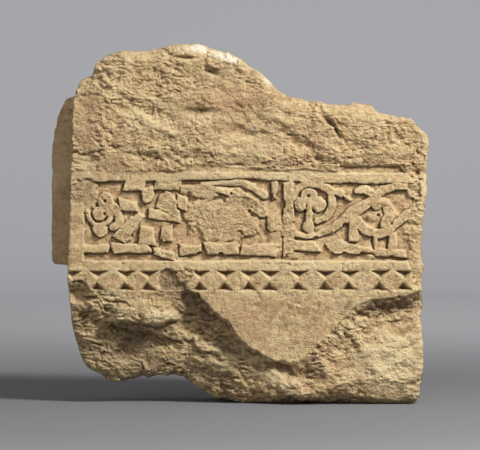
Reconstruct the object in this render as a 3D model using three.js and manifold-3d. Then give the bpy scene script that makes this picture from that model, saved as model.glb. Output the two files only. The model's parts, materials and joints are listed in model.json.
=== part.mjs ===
// An inscribed frieze block of sandy limestone, broken above and below, as one closed solid.
// Millimetres, +Z up, X along the frieze, the carved face towards -Y.
// The block stands on its flattened bed. A plain tongue runs down its left side, set back from the face.
// From the bed upward: a plain field, a row of lozenges, a fillet, the carved band, a fillet,
// a hollow strip and the broken top. The band carries rows of plain strokes, leaves and scrolls.
import * as THREE from "three";
import { mergeVertices } from "three/addons/utils/BufferGeometryUtils.js";
import Module from "manifold-3d";

const wasm = await Module();
wasm.setup();

// Driving dimensions, in millimetres
const FACE_WIDTH = 572; // the carved face, from its left side to its broken right side
const BLOCK_DEPTH = 170; // from the front-most stone to the flat back
const BED_FIELD = 180; // from the bed to the lozenge row
const ROW_HEIGHT = 33; // the lozenge row
const LOWER_FILLET = 14;
const BAND_HEIGHT = 128;
const UPPER_FILLET = 11;
const HOLLOW_STRIP = 11.5; // the strip above the upper fillet, kept only at the right
const BROKEN_RISE = 194; // from the hollow strip to the top of the hump
const FACE_SETBACK = 6; // the tooled face behind the front-most broken stone
const RELIEF_DEPTH = 9; // the band's ground behind the face
const STRIP_DEPTH = 6; // the hollow strip's ground behind the face
const STRIP_LENGTH = 105; // the kept length of the strip
const STRIP_MARGIN = 39; // from its end to the face's right side
const BAND_MARGIN_LEFT = 26; // from the face's left side to the band's ground
const BAND_MARGIN_RIGHT = 26;
const LOZENGE_PITCH = 40;
const PIT_DEPTH = 8; // the chip-carved pits between lozenges
const PIT_MARGIN = 1; // from a pit's edge to the lozenge row's edge
const PIT_SPREAD = 0.41; // half a pit's width, as a share of the pitch
const PIT_GAP = 1.5; // from a pit's point to the middle of the row
const PIT_DROP = 1.5; // from a pit's edge to its deepest point
const PIT_STAGGER = 2; // how far the lower pits lie left of the upper ones
const TONGUE_REACH = 28.5; // how far the tongue stands out of the left side
const TONGUE_SETBACK = 62; // the tongue's face behind the front-most stone
const TONGUE_BOTTOM = 220; // above the bed
const TONGUE_HEIGHT = 276;
const TONGUE_CORNER = 9; // radius of its lower corner
const TONGUE_CURVE = 0.42; // share of its height over which its top curves in
const TONGUE_ROOT = 40; // how far it runs into the block
const TOP_PROUD = 3; // how far the broken top stands before the tooled face
const TOP_LEAN = 5; // how far the broken top leans back
const TOP_ROUGHNESS = 7; // half the height of the broken top's swells
const FOOT_ROUGHNESS = 5; // the same on the broken foot
const SIDE_ROUGHNESS = 8; // how far the broken sides draw in between front and back
const DRESSED_ROUGHNESS = 1; // the same on the dressed part of the left side
const DRESSED_BELOW = 60; // how far below the tongue the left side is still dressed
const LEFT_ROUND = 4; // radii of the face's worn edges
const RIGHT_ROUND = 14;
const TOP_ROUND = 26;
const FOOT_ROUND = 10;
const BACK_CHAMFER = 7; // how far the stone draws in at its back edges
const WIDE_SWELL = 62; // sizes of the swells of broken stone
const NARROW_SWELL = 27;
const ROUND_SWELL = 70; // size of the swells that vary the worn edges

// Levels above the bed and places across the face
const ROW_BOTTOM = BED_FIELD;
const ROW_TOP = ROW_BOTTOM + ROW_HEIGHT;
const BAND_BOTTOM = ROW_TOP + LOWER_FILLET;
const BAND_TOP = BAND_BOTTOM + BAND_HEIGHT;
const STRIP_BOTTOM = BAND_TOP + UPPER_FILLET;
const STRIP_TOP = STRIP_BOTTOM + HOLLOW_STRIP;
const BLOCK_HEIGHT = STRIP_TOP + BROKEN_RISE;
const LEFT = -FACE_WIDTH / 2;
const RIGHT = FACE_WIDTH / 2;
const CUT_CLEAR = 20; // how far a cutter starts in front of the stone
const SCAR_RIM = [0.75, 1.1]; // where a scar's edge rises, as shares of its half sizes
const RING_STEP = 18; // degrees between the points of a ring

// Grid of the body, in cells
const COLUMNS = 46;
const BROKEN_ROWS = 9; // below the plain field's broken edge
const FIELD_ROWS = 4; // between that edge and the lozenge row
const CARVED_ROWS = 6;
const RISE_ROWS = 15;
const SIDE_RINGS = [0.3, 0.62, 0.93]; // shares of the way from the front edge to the back
const ARC_STEPS = 5; // divisions of a small round end
const EDGE_DROP = 8; // height of the row that falls off the field's broken edge
const SIDE_REACH = 0.2; // share of the width over which the grid follows a worn side

// The outline of the face. Along: share of the width from the left.
// Up: share of the broken rise above the strip.
const TOP_EDGE = [
  [0.037, 0.709], [0.068, 0.745], [0.078, 0.826], [0.103, 0.891], [0.133, 0.929], [0.186, 0.951],
  [0.232, 0.956], [0.282, 0.994], [0.331, 1.0], [0.359, 0.994], [0.442, 0.935], [0.487, 0.854],
  [0.537, 0.757], [0.611, 0.563], [0.691, 0.53], [0.748, 0.506], [0.806, 0.518], [0.842, 0.506],
  [0.85, 0.466], [0.891, 0.421], [0.953, 0.385], [0.972, 0.312], [1.0, 0.247],
];
// Up: share of the bed field's height above the bed. The two zeros bound the flat bed.
const BOTTOM_EDGE = [
  [0.037, 0.375], [0.052, 0.317], [0.084, 0.262], [0.112, 0.201], [0.147, 0.192], [0.172, 0.218],
  [0.227, 0.227], [0.285, 0.239], [0.319, 0.218], [0.339, 0.174], [0.367, 0.096], [0.409, 0.0],
  [0.957, 0.0], [1.0, 0.087],
];
// In: millimetres inward from the nominal side. Up: share of the block's height.
const LEFT_SIDE = [
  [0.118, 21.4], [0.173, 12], [0.225, 5.1], [0.297, 2.1], [0.338, 0], [0.395, 0.7], [0.444, 1.6],
  [0.549, 4.6], [0.621, 4.6], [0.703, 8], [0.786, 8], [0.84, 10.4], [0.865, 14.3], [0.901, 21.4],
];
const RIGHT_SIDE = [
  [0.027, 12.1], [0.071, 9.7], [0.143, 8.2], [0.195, 9], [0.241, 12.4], [0.28, 9], [0.327, 12.4],
  [0.379, 9], [0.442, 11.3], [0.486, 11.3], [0.533, 7.4], [0.591, 2.7], [0.648, 4.9], [0.717, 0],
  [0.745, 0.3],
];
// The lower edge of what is left of the plain field. Below it the stone is broken.
// Up: share of the bed field's height.
const FIELD_EDGE = [
  [0.004, 1.073], [0.092, 1.012], [0.257, 0.994], [0.326, 1.012], [0.38, 0.925], [0.408, 0.82],
  [0.444, 0.733], [0.477, 0.593], [0.509, 0.515], [0.545, 0.445], [0.6, 0.384], [0.641, 0.384],
  [0.669, 0.488], [0.71, 0.593], [0.737, 0.707], [0.765, 0.785], [0.806, 0.881], [0.847, 0.925],
  [0.902, 0.959], [0.957, 1.003], [0.984, 1.012],
];

// The form of the broken foot, from its bottom edge (level 0) up to the field's broken edge (level 1).
const FOOT_LEVELS = [0, 0.25, 0.45, 0.6, 0.75, 0.9, 1];
// Each station: share of the width from the left, then millimetres behind the front-most stone at each level.
const FOOT_STATIONS = [
  [0.025, [52, 40, 32, 20, 22, 26, 8]],
  [0.095, [50, 40, 32, 20, 20, 14, 7]],
  [0.177, [56, 48, 38, 20, 16, 11, 7]],
  [0.26, [55, 47, 37, 17, 14, 14, 8]],
  [0.345, [58, 47, 39, 36, 34, 22, 8]],
  [0.413, [58, 44, 39, 36, 34, 24, 6]],
  [0.495, [52, 38, 32, 29, 26, 18, 6]],
  [0.577, [44, 24, 22, 24, 23, 15, 6]],
  [0.642, [40, 18, 17, 20, 22, 14, 6]],
  [0.716, [38, 14, 14, 13, 12, 10, 6]],
  [0.77, [36, 13, 18, 20, 17, 18, 6]],
  [0.838, [34, 11, 15, 20, 24, 24, 6]],
  [0.918, [34, 12, 17, 22, 28, 26, 6]],
  [1, [36, 12, 16, 20, 24, 24, 8]],
];
// How far each pit of the lozenge row was cut to the right of its even place, from the left, in millimetres.
const HAND_SHIFTS = [3.6, 7.5, 3.6, 4.4, 4.8, 4.6, 2.2, -4.8, 0, 2.2, 0, 7.4, 5.1];

const along = (share) => LEFT + share * FACE_WIDTH;
const clamp01 = (t) => Math.min(1, Math.max(0, t));
const ease = (t) => clamp01(t) ** 2 * (3 - 2 * clamp01(t));
const ramp = (low, high, value) => ease((value - low) / (high - low));

// Straight-line reading of a list of [place, value] pairs.
function read(pairs, place) {
  const after = pairs.findIndex(([p]) => p >= place);
  if (after === 0) return pairs[0][1];
  if (after < 0) return pairs[pairs.length - 1][1];
  const [[p0, v0], [p1, v1]] = [pairs[after - 1], pairs[after]];
  return v0 + ((v1 - v0) * (place - p0)) / (p1 - p0);
}

// Smooth value noise from -1 to 1 on a square lattice: the rough of a broken stone.
function lattice(x, z, cell, seed) {
  const corner = (i, j) => {
    const wave = Math.sin(i * 127.1 + j * 311.7 + seed * 74.7) * 43758.5453;
    return 2 * (wave - Math.floor(wave)) - 1;
  };
  const [i, j] = [Math.floor(x / cell), Math.floor(z / cell)];
  const [u, v] = [ease(x / cell - i), ease(z / cell - j)];
  const low = corner(i, j) * (1 - u) + corner(i + 1, j) * u;
  const high = corner(i, j + 1) * (1 - u) + corner(i + 1, j + 1) * u;
  return low * (1 - v) + high * v;
}
const rough = (x, z, seed) =>
  0.62 * lattice(x, z, WIDE_SWELL, seed) + 0.38 * lattice(x, z, NARROW_SWELL, seed + 1);

// Height of the top edge, of the bottom edge and of the plain field's broken edge at x.
const share = (x) => (x - LEFT) / FACE_WIDTH;
const topEdge = (x) => STRIP_TOP + read(TOP_EDGE, share(x)) * BROKEN_RISE;
const fieldEdge = (x) => read(FIELD_EDGE, share(x)) * BED_FIELD;
const bottomEdge = (x) => read(BOTTOM_EDGE, share(x)) * BED_FIELD;
const leftEdge = (z) => LEFT + read(LEFT_SIDE, z / BLOCK_HEIGHT);
const rightEdge = (z) => RIGHT - read(RIGHT_SIDE, z / BLOCK_HEIGHT);

// Chips and scars of the carved face: centre, half sizes and depth behind the face.
const bandLevel = (up) => BAND_BOTTOM + up * BAND_HEIGHT;
const SCARS = [
  // the middle of the band and its upper left, where the ground was never reached
  { x: along(0.41), z: bandLevel(0.52), halfWidth: 60, halfHeight: 30, depth: 5, uncut: true },
  { x: along(0.05), z: bandLevel(0.8), halfWidth: 30, halfHeight: 20, depth: 6, uncut: true },
  // across the lozenge row, the right end, and a gouge under the row
  { x: along(0.276), z: ROW_TOP - 0.3 * ROW_HEIGHT, halfWidth: 26, halfHeight: 26, depth: 9 },
  { x: along(0.985), z: bandLevel(0.45), halfWidth: 24, halfHeight: 90, depth: 9 },
  { x: along(0.051), z: ROW_BOTTOM - 4, halfWidth: 38, halfHeight: 14, depth: 12 },
];

// Depth of the broken foot at x: each station's profile, blended smoothly from one station to the next.
function footForm(x, level) {
  const last = FOOT_STATIONS.length - 1;
  const after = FOOT_STATIONS.findIndex(([place]) => place >= share(x));
  const next = after < 0 ? last : Math.max(after, 1);
  const [[p0, depths0], [p1, depths1]] = [FOOT_STATIONS[next - 1], FOOT_STATIONS[next]];
  const mix = ramp(p0, p1, share(x));
  const profile = (depths) => read(FOOT_LEVELS.map((l, i) => [l, depths[i]]), level);
  return profile(depths0) * (1 - mix) + profile(depths1) * mix;
}

// How deep the stone lies behind the front-most plane at a place on the face.
function faceDepth(x, z) {
  const below = fieldEdge(x) - z;
  const above = z - STRIP_TOP;
  let depth = FACE_SETBACK;
  if (below > 0) {
    const level = clamp01((z - bottomEdge(x)) / (fieldEdge(x) - bottomEdge(x)));
    const swell = FOOT_ROUGHNESS * rough(x, z, 3) * ramp(0, NARROW_SWELL, below);
    depth = Math.max(depth, footForm(x, level) + swell);
  }
  if (above > 0) {
    const swell = TOP_ROUGHNESS * rough(x, z, 11) * ramp(0, NARROW_SWELL, above);
    depth += TOP_LEAN * ramp(0.2, 0.8, above / BROKEN_RISE) + swell;
    depth -= TOP_PROUD * ramp(0, HOLLOW_STRIP, above);
  }
  for (const s of SCARS) {
    const off = Math.hypot((x - s.x) / s.halfWidth, (z - s.z) / s.halfHeight);
    depth += s.depth * (1 - ramp(...SCAR_RIM, off));
  }
  return depth + edgeFall(x, z);
}

// How far the face's worn edges fall back: a quarter circle at each side of the outline.
function edgeFall(x, z) {
  const quarter = (radius, distance) => {
    const inside = clamp01(distance / radius);
    return radius * (1 - Math.sqrt(1 - (1 - inside) ** 2));
  };
  const topRadius = TOP_ROUND * (1 + 0.3 * lattice(x, z, ROUND_SWELL, 5));
  const footRadius = FOOT_ROUND * (1 + 0.4 * lattice(x, z, ROUND_SWELL, 6));
  return (
    quarter(LEFT_ROUND, x - leftEdge(z)) +
    quarter(RIGHT_ROUND, rightEdge(z) - x) +
    quarter(topRadius, topEdge(x) - z) +
    quarter(footRadius, z - bottomEdge(x))
  );
}

// Where the grid's column that starts at x runs at height z, drawn in with the worn sides.
function columnX(x, z) {
  const leftPull = 1 - ramp(0, SIDE_REACH, share(x));
  const rightPull = ramp(1 - SIDE_REACH, 1, share(x));
  return x + leftPull * (leftEdge(z) - LEFT) + rightPull * (rightEdge(z) - RIGHT);
}

// Heights of a column's grid rows: from the bottom edge up to the field's broken edge,
// on to the lozenge row and to the top.
function rowHeights(x) {
  const heights = [];
  const spread = (from, to, count) => {
    for (let i = 0; i < count; i++) heights.push(from + ((to - from) * i) / count);
  };
  const edge = Math.min(fieldEdge(x), ROW_BOTTOM - EDGE_DROP / 2);
  const bottom = bottomEdge(columnX(x, bottomEdge(x)));
  const top = topEdge(columnX(x, topEdge(x)));
  spread(bottom, edge - EDGE_DROP, BROKEN_ROWS);
  spread(edge - EDGE_DROP, edge, 1);
  spread(edge, ROW_BOTTOM, FIELD_ROWS);
  spread(ROW_BOTTOM, STRIP_TOP, CARVED_ROWS);
  spread(STRIP_TOP, top, RISE_ROWS);
  return [...heights, top];
}

// A point of the ring that lies a share of the way back: the face's edge point, carried back
// and drawn in.
function ringPoint([x, y, z], back, index) {
  const depth = y + (BLOCK_DEPTH - y) * back;
  const onBed = z < 1;
  const dressed = x < LEFT + TONGUE_REACH && z > TONGUE_BOTTOM - DRESSED_BELOW;
  const drawnIn = onBed ? 0 : dressed ? DRESSED_ROUGHNESS : SIDE_ROUGHNESS;
  const wave = 0.5 + 0.5 * lattice(index * 9, depth, 45, 8);
  const inset = drawnIn * wave * Math.sin(Math.PI * back) + (back < 1 ? 0 : BACK_CHAMFER);
  const middle = BLOCK_HEIGHT / 2;
  const reach = Math.hypot(x / RIGHT, (z - middle) / middle);
  const towardsX = (x / RIGHT / reach) * inset;
  const towardsZ = ((z - middle) / middle / reach) * inset;
  return [x - towardsX, depth, onBed && back < 1 ? 0 : z - towardsZ];
}

// The body before carving: a grid over the face, rings back along the sides, and a flat back.
function makeBody() {
  const columns = Array.from({ length: COLUMNS + 1 }, (_, c) => LEFT + (FACE_WIDTH * c) / COLUMNS);
  const heights = columns.map(rowHeights);
  const rows = heights[0].length - 1;
  const points = [];
  for (let r = 0; r <= rows; r++)
    columns.forEach((start, c) => {
      const z = heights[c][r];
      const x = columnX(start, z);
      points.push([x, faceDepth(x, z), z]);
    });
  const at = (r, c) => r * (COLUMNS + 1) + c;
  const faces = [];
  for (let r = 0; r < rows; r++)
    for (let c = 0; c < COLUMNS; c++) {
      const [a, b, d, e] = [at(r, c), at(r, c + 1), at(r + 1, c + 1), at(r + 1, c)];
      if ((r + c) % 2) faces.push([a, b, d], [a, d, e]);
      else faces.push([a, b, e], [b, d, e]);
    }
  let loop = [];
  for (let c = 0; c < COLUMNS; c++) loop.push(at(0, c));
  for (let r = 0; r < rows; r++) loop.push(at(r, COLUMNS));
  for (let c = COLUMNS; c > 0; c--) loop.push(at(rows, c));
  for (let r = rows; r > 0; r--) loop.push(at(r, 0));
  const front = loop.map((i) => points[i]);

  for (const q of [...SIDE_RINGS, 1]) {
    const next = front.map((p, i) => points.push(ringPoint(p, q, i)) - 1);
    loop.forEach((a, i) => {
      const b = loop[(i + 1) % loop.length];
      const [a2, b2] = [next[i], next[(i + 1) % loop.length]];
      faces.push([a, a2, b], [b, a2, b2]);
    });
    loop = next;
  }
  const backOutline = loop.map((i) => new THREE.Vector2(points[i][0], points[i][2]));
  for (const [a, b, c] of THREE.ShapeUtils.triangulateShape(backOutline, []))
    faces.push([loop[a], loop[c], loop[b]]);
  return solidFrom(points.flat(), faces.flat());
}

// A manifold-3d solid from vertices and triangles, and from a three.js geometry.
function solidFrom(vertices, triangles) {
  const vertProperties = new Float32Array(vertices);
  const triVerts = new Uint32Array(triangles);
  return new wasm.Manifold(new wasm.Mesh({ numProp: 3, vertProperties, triVerts }));
}
function solidOf(geometry) {
  geometry.deleteAttribute("normal");
  geometry.deleteAttribute("uv");
  const merged = mergeVertices(geometry, 1e-4);
  return solidFrom(merged.attributes.position.array, merged.index.array);
}
const union = (solids) => solids.reduce((sum, s) => sum.add(s));

// A shape drawn on the face (x across, y up), as a solid from one depth behind the front-most
// plane to another.
function throughFace(shape, from, to) {
  const options = { depth: to - from, bevelEnabled: false, curveSegments: ARC_STEPS };
  const geometry = new THREE.ExtrudeGeometry(shape, options);
  geometry.rotateX(Math.PI / 2); // the shape's up becomes +Z, its extrusion -Y
  geometry.translate(0, to, 0);
  return solidOf(geometry);
}
function rectangle(x0, z0, x1, z1) {
  const corners = [[x0, z0], [x1, z0], [x1, z1], [x0, z1]];
  return new THREE.Shape(corners.map(([x, z]) => new THREE.Vector2(x, z)));
}

// Marks of the band. Each place is [right of the layout's middle, up from the band's foot],
// in band heights.
const LAYOUT_MIDDLE = along(0.475);
const bx = (right) => LAYOUT_MIDDLE + right * BAND_HEIGHT;

// A stroke with straight or round ends that may widen from one end to the other.
function strokeShape([x0, z0], [x1, z1], w0, w1, roundEnds) {
  const [ax, az, cx, cz] = [bx(x0), bandLevel(z0), bx(x1), bandLevel(z1)];
  const turn = Math.atan2(cz - az, cx - ax);
  const [ra, rc] = [(w0 * BAND_HEIGHT) / 2, (w1 * BAND_HEIGHT) / 2];
  const side = (x, z, r, sign) => [x - sign * r * Math.sin(turn), z + sign * r * Math.cos(turn)];
  const shape = new THREE.Shape();
  shape.moveTo(...side(ax, az, ra, -1));
  shape.lineTo(...side(cx, cz, rc, -1));
  if (roundEnds) shape.absarc(cx, cz, rc, turn - Math.PI / 2, turn + Math.PI / 2, false);
  shape.lineTo(...side(cx, cz, rc, 1));
  shape.lineTo(...side(ax, az, ra, 1));
  if (roundEnds) shape.absarc(ax, az, ra, turn + Math.PI / 2, turn + (3 * Math.PI) / 2, false);
  shape.closePath();
  return shape;
}
function discShape([x, z], radius) {
  const shape = new THREE.Shape();
  shape.absarc(bx(x), bandLevel(z), radius * BAND_HEIGHT, 0, 2 * Math.PI, false);
  return shape;
}

// Rows of plain strokes with straight ends.
const PLAIN_STROKES = [
  { from: [-1.97, 0.14], to: [-1.97, 0.43], width: 0.1 },
  { from: [-2.05, 0.155], to: [-1.6, 0.155], width: 0.11 },
  { from: [-1.56, 0.155], to: [-1.1, 0.155], width: 0.11 },
  { from: [-1.06, 0.12], to: [-0.8, 0.06], width: 0.09 },
  { from: [-1.49, 0.26], to: [-1.22, 0.58], width: 0.15 },
  { from: [-1.12, 0.59], to: [-0.74, 0.55], width: 0.13 },
  { from: [-1.48, 0.7], to: [-1.26, 0.66], width: 0.12 },
  { from: [-1.42, 0.93], to: [-1.16, 0.93], width: 0.12 },
  { from: [-1.13, 0.9], to: [-1.13, 0.7], width: 0.12 },
  { from: [-1.04, 0.93], to: [-0.72, 0.93], width: 0.11 },
  { from: [-1.0, 0.74], to: [-0.82, 0.74], width: 0.14 },
  { from: [-0.7, 0.8], to: [-0.7, 0.64], width: 0.11 },
  { from: [-1.14, 0.2], to: [-1.14, 0.42], width: 0.17 },
  { from: [-0.9, 0.42], to: [-0.9, 0.22], width: 0.13 },
  { from: [-0.74, 0.15], to: [-0.46, 0.15], width: 0.13 },
  { from: [-0.42, 0.15], to: [-0.02, 0.15], width: 0.14 },
  { from: [0.02, 0.14], to: [0.46, 0.13], width: 0.14 },
  { from: [0.6, 0.08], to: [0.6, 0.98], width: 0.12 },
  { from: [0.43, 0.75], to: [0.43, 0.98], width: 0.06 },
  { from: [0.4, 0.36], to: [0.4, 0.58], width: 0.12 },
  { from: [0.6, 0.19], to: [0.97, 0.19], width: 0.13 },
  { from: [1.08, 0.18], to: [1.26, 0.2], width: 0.06 },
  { from: [1.15, 0.15], to: [2.05, 0.09], width: 0.09 },
  { from: [1.4, 0.5], to: [1.4, 0.24], width: 0.11 },
  { from: [1.66, 0.32], to: [1.66, 0.08], width: 0.05 },
  { from: [1.88, 0.34], to: [1.88, 0.08], width: 0.1 },
];

// Stems and leaves: a run of points with a width at each, round ended.
const STEMS = [
  // the main stem and the outer curl
  [
    [0.67, 0.34, 0.06], [0.82, 0.31, 0.06], [0.98, 0.33, 0.08], [1.14, 0.4, 0.1], [1.27, 0.49, 0.12],
    [1.38, 0.59, 0.14], [1.5, 0.66, 0.13], [1.64, 0.76, 0.11], [1.76, 0.87, 0.1], [1.92, 0.92, 0.09],
    [2.07, 0.92, 0.08], [2.18, 0.85, 0.07], [2.2, 0.72, 0.06],
  ],
  // the second scroll, its leaf, and the curl inside it
  [
    [1.38, 0.57, 0.12], [1.46, 0.46, 0.11], [1.55, 0.37, 0.1], [1.69, 0.33, 0.1], [1.82, 0.36, 0.1],
    [1.92, 0.45, 0.09], [2.03, 0.55, 0.1], [2.14, 0.65, 0.1],
  ],
  [[1.68, 0.74, 0.12], [1.79, 0.69, 0.14], [1.84, 0.58, 0.15], [1.79, 0.44, 0.12]],
  // a leaf tip off the ring, and a rounded leaf on the stem
  [[1.05, 0.91, 0.1], [1.22, 0.84, 0.09], [1.35, 0.75, 0.03]],
  [[1.44, 0.87, 0.08], [1.54, 0.89, 0.1], [1.64, 0.82, 0.08]],
  // the long leaf and the leaf under it
  [[-0.45, 0.94, 0.05], [-0.2, 0.965, 0.06], [0, 0.96, 0.075], [0.18, 0.9, 0.08], [0.31, 0.8, 0.09]],
  [
    [-0.48, 0.91, 0.06], [-0.3, 0.87, 0.1], [-0.12, 0.84, 0.12], [0.04, 0.79, 0.12], [0.18, 0.68, 0.13],
    [0.28, 0.59, 0.11],
  ],
  // the stalk of the left leaves
  [[-1.56, 0.42, 0.09], [-1.48, 0.46, 0.1], [-1.5, 0.62, 0.09]],
];

// Rings: centre, middle radius, width and the angles where the ring starts and ends, in degrees.
const RINGS = [
  { centre: [0.883, 0.709], radius: 0.25, width: 0.088, start: -72, end: 165 },
  { centre: [-1.724, 0.592], radius: 0.145, width: 0.05, start: -180, end: -15 },
];

// Round lobes, each a centre and a radius, and their stalks.
const LOBES = [
  [[0.85, 0.81], 0.093], [[0.752, 0.7], 0.088], [[0.972, 0.69], 0.094], [[0.856, 0.426], 0.075],
  [[0.86, 0.73], 0.07],
  [[-1.656, 0.746], 0.092], [[-1.724, 0.592], 0.085], [[-1.55, 0.635], 0.08],
  [[-1.724, 0.378], 0.092], [[1.7, 0.7], 0.085],
];
const LOBE_STALKS = [
  { from: [0.853, 0.86], to: [0.853, 0.5], width: 0.075 },
  { from: [-1.68, 0.7], to: [-1.6, 0.6], width: 0.1 },
];
// The centre line of a ring, as points.
function ringPlaces({ centre, radius, start, end }) {
  const steps = Math.ceil((end - start) / RING_STEP);
  return Array.from({ length: steps + 1 }, (_, n) => {
    const angle = THREE.MathUtils.degToRad(start + ((end - start) * n) / steps);
    return [centre[0] + radius * Math.cos(angle), centre[1] + radius * Math.sin(angle)];
  });
}

// Everything of the band that stands up from its ground.
function standingMarks(from, to) {
  const shapes = [];
  for (const s of PLAIN_STROKES) shapes.push(strokeShape(s.from, s.to, s.width, s.width, false));
  for (const s of LOBE_STALKS) shapes.push(strokeShape(s.from, s.to, s.width, s.width, true));
  for (const run of STEMS)
    for (let i = 1; i < run.length; i++) {
      const [[x0, z0, w0], [x1, z1, w1]] = [run[i - 1], run[i]];
      shapes.push(strokeShape([x0, z0], [x1, z1], w0, w1, true));
    }
  for (const [centre, radius] of LOBES) shapes.push(discShape(centre, radius));
  for (const ring of RINGS) {
    const places = ringPlaces(ring);
    for (let i = 1; i < places.length; i++)
      shapes.push(strokeShape(places[i - 1], places[i], ring.width, ring.width, true));
  }
  return union(shapes.map((shape) => throughFace(shape, from, to)));
}

// What the carver took out of the band: the panel down to its ground, without the marks and
// the places left uncut.
function bandCutter() {
  const ground = FACE_SETBACK + RELIEF_DEPTH;
  const panel = throughFace(
    rectangle(LEFT + BAND_MARGIN_LEFT, BAND_BOTTOM, RIGHT - BAND_MARGIN_RIGHT, BAND_TOP),
    -CUT_CLEAR,
    ground,
  );
  const marks = standingMarks(-CUT_CLEAR - 1, ground + 1);
  const kept = SCARS.filter((s) => s.uncut).map((s) => {
    const scar = new THREE.Shape();
    scar.absellipse(s.x, s.z, s.halfWidth * 0.95, s.halfHeight * 0.95, 0, 2 * Math.PI, false, 0);
    return throughFace(scar, FACE_SETBACK + s.depth + 1, ground + 1);
  });
  return panel.subtract(marks).subtract(union(kept));
}

// A chip-carved pit: a three-sided pyramid whose deepest point lies under the fillet's edge.
function pit(x, edge, point, halfWidth) {
  const rim = FACE_SETBACK - CUT_CLEAR;
  const floor = FACE_SETBACK + PIT_DEPTH;
  const inward = Math.sign(point - edge);
  const deep = edge + inward * PIT_DROP;
  const corners = [
    [x - halfWidth, rim, edge], [x + halfWidth, rim, edge], [x, rim, point],
    [x - halfWidth, FACE_SETBACK, edge], [x + halfWidth, FACE_SETBACK, edge], [x, FACE_SETBACK, point],
    [x, floor, deep],
  ];
  const faces = [
    [0, 1, 2], [0, 3, 1], [1, 3, 4], [1, 4, 2], [2, 4, 5],
    [2, 5, 0], [0, 5, 3], [3, 6, 4], [4, 6, 5], [5, 6, 3],
  ];
  const outward = inward < 0 ? faces.map(([a, b, c]) => [a, c, b]) : faces;
  return solidFrom(corners.flat(), outward.flat());
}
function lozengePits() {
  const count = Math.floor((FACE_WIDTH - LOZENGE_PITCH) / LOZENGE_PITCH);
  const middle = (ROW_BOTTOM + ROW_TOP) / 2;
  const pits = [];
  for (let i = 0; i < count; i++) {
    const x = (i - (count - 1) / 2) * LOZENGE_PITCH + HAND_SHIFTS[i % HAND_SHIFTS.length];
    const halfWidth = LOZENGE_PITCH * PIT_SPREAD;
    pits.push(pit(x, ROW_TOP - PIT_MARGIN, middle + PIT_GAP, halfWidth));
    pits.push(pit(x - PIT_STAGGER, ROW_BOTTOM + PIT_MARGIN, middle - PIT_GAP, halfWidth));
  }
  return union(pits);
}

// The kept length of the hollow strip above the upper fillet.
const stripCutter = () =>
  throughFace(
    rectangle(RIGHT - STRIP_MARGIN - STRIP_LENGTH, STRIP_BOTTOM, RIGHT - STRIP_MARGIN, STRIP_TOP),
    -CUT_CLEAR,
    FACE_SETBACK + STRIP_DEPTH,
  );

// The plain tongue: a slab behind the face whose top slopes in under the broken edge.
function makeTongue() {
  const outer = LEFT - TONGUE_REACH;
  const inner = LEFT + TONGUE_ROOT;
  const top = TONGUE_BOTTOM + TONGUE_HEIGHT;
  const [cornerX, cornerZ] = [outer + TONGUE_CORNER, TONGUE_BOTTOM + TONGUE_CORNER];
  const shape = new THREE.Shape();
  shape.moveTo(inner, TONGUE_BOTTOM);
  shape.lineTo(cornerX, TONGUE_BOTTOM);
  shape.absarc(cornerX, cornerZ, TONGUE_CORNER, -Math.PI / 2, -Math.PI, true);
  shape.lineTo(outer, top - TONGUE_CURVE * TONGUE_HEIGHT);
  shape.quadraticCurveTo(outer + 0.1 * TONGUE_REACH, top - 0.1 * TONGUE_HEIGHT, LEFT, top);
  shape.lineTo(inner, top);
  shape.closePath();
  return throughFace(shape, TONGUE_SETBACK, BLOCK_DEPTH);
}

// The block, carved and joined to its tongue, moved so that its box stands centred on the origin.
function makeBlock() {
  const carved = makeBody().subtract(bandCutter()).subtract(lozengePits()).subtract(stripCutter());
  const { numProp, vertProperties, triVerts } = carved.add(makeTongue()).getMesh();
  const geometry = new THREE.BufferGeometry();
  geometry.setAttribute("position", new THREE.BufferAttribute(new Float32Array(vertProperties), numProp));
  geometry.setIndex(new THREE.BufferAttribute(new Uint32Array(triVerts), 1));
  geometry.computeBoundingBox();
  const { min, max } = geometry.boundingBox;
  geometry.translate(-(min.x + max.x) / 2, -(min.y + max.y) / 2, -min.z);
  geometry.computeVertexNormals();
  return geometry;
}

const limestone = new THREE.MeshStandardMaterial({ color: 0xb89b72, roughness: 0.92, metalness: 0 });
const block = new THREE.Mesh(makeBlock(), limestone);
block.name = "frieze_block";

const frieze = new THREE.Group();
frieze.add(block);
export default frieze;
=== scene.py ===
# %% [markdown]
# # A broken frieze block of sandy limestone
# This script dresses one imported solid, a block from a carved frieze, for a studio picture.
# The block is one stone, so it is one mesh. Its front is a height field: at each place of the face,
# a function gives how deep the stone lies. Its sides and back are rings carried back from the face's edge.
# All lengths are millimetres until a mesh is made, because that is how a mason measures.

# %% Load the frame
import json

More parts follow.
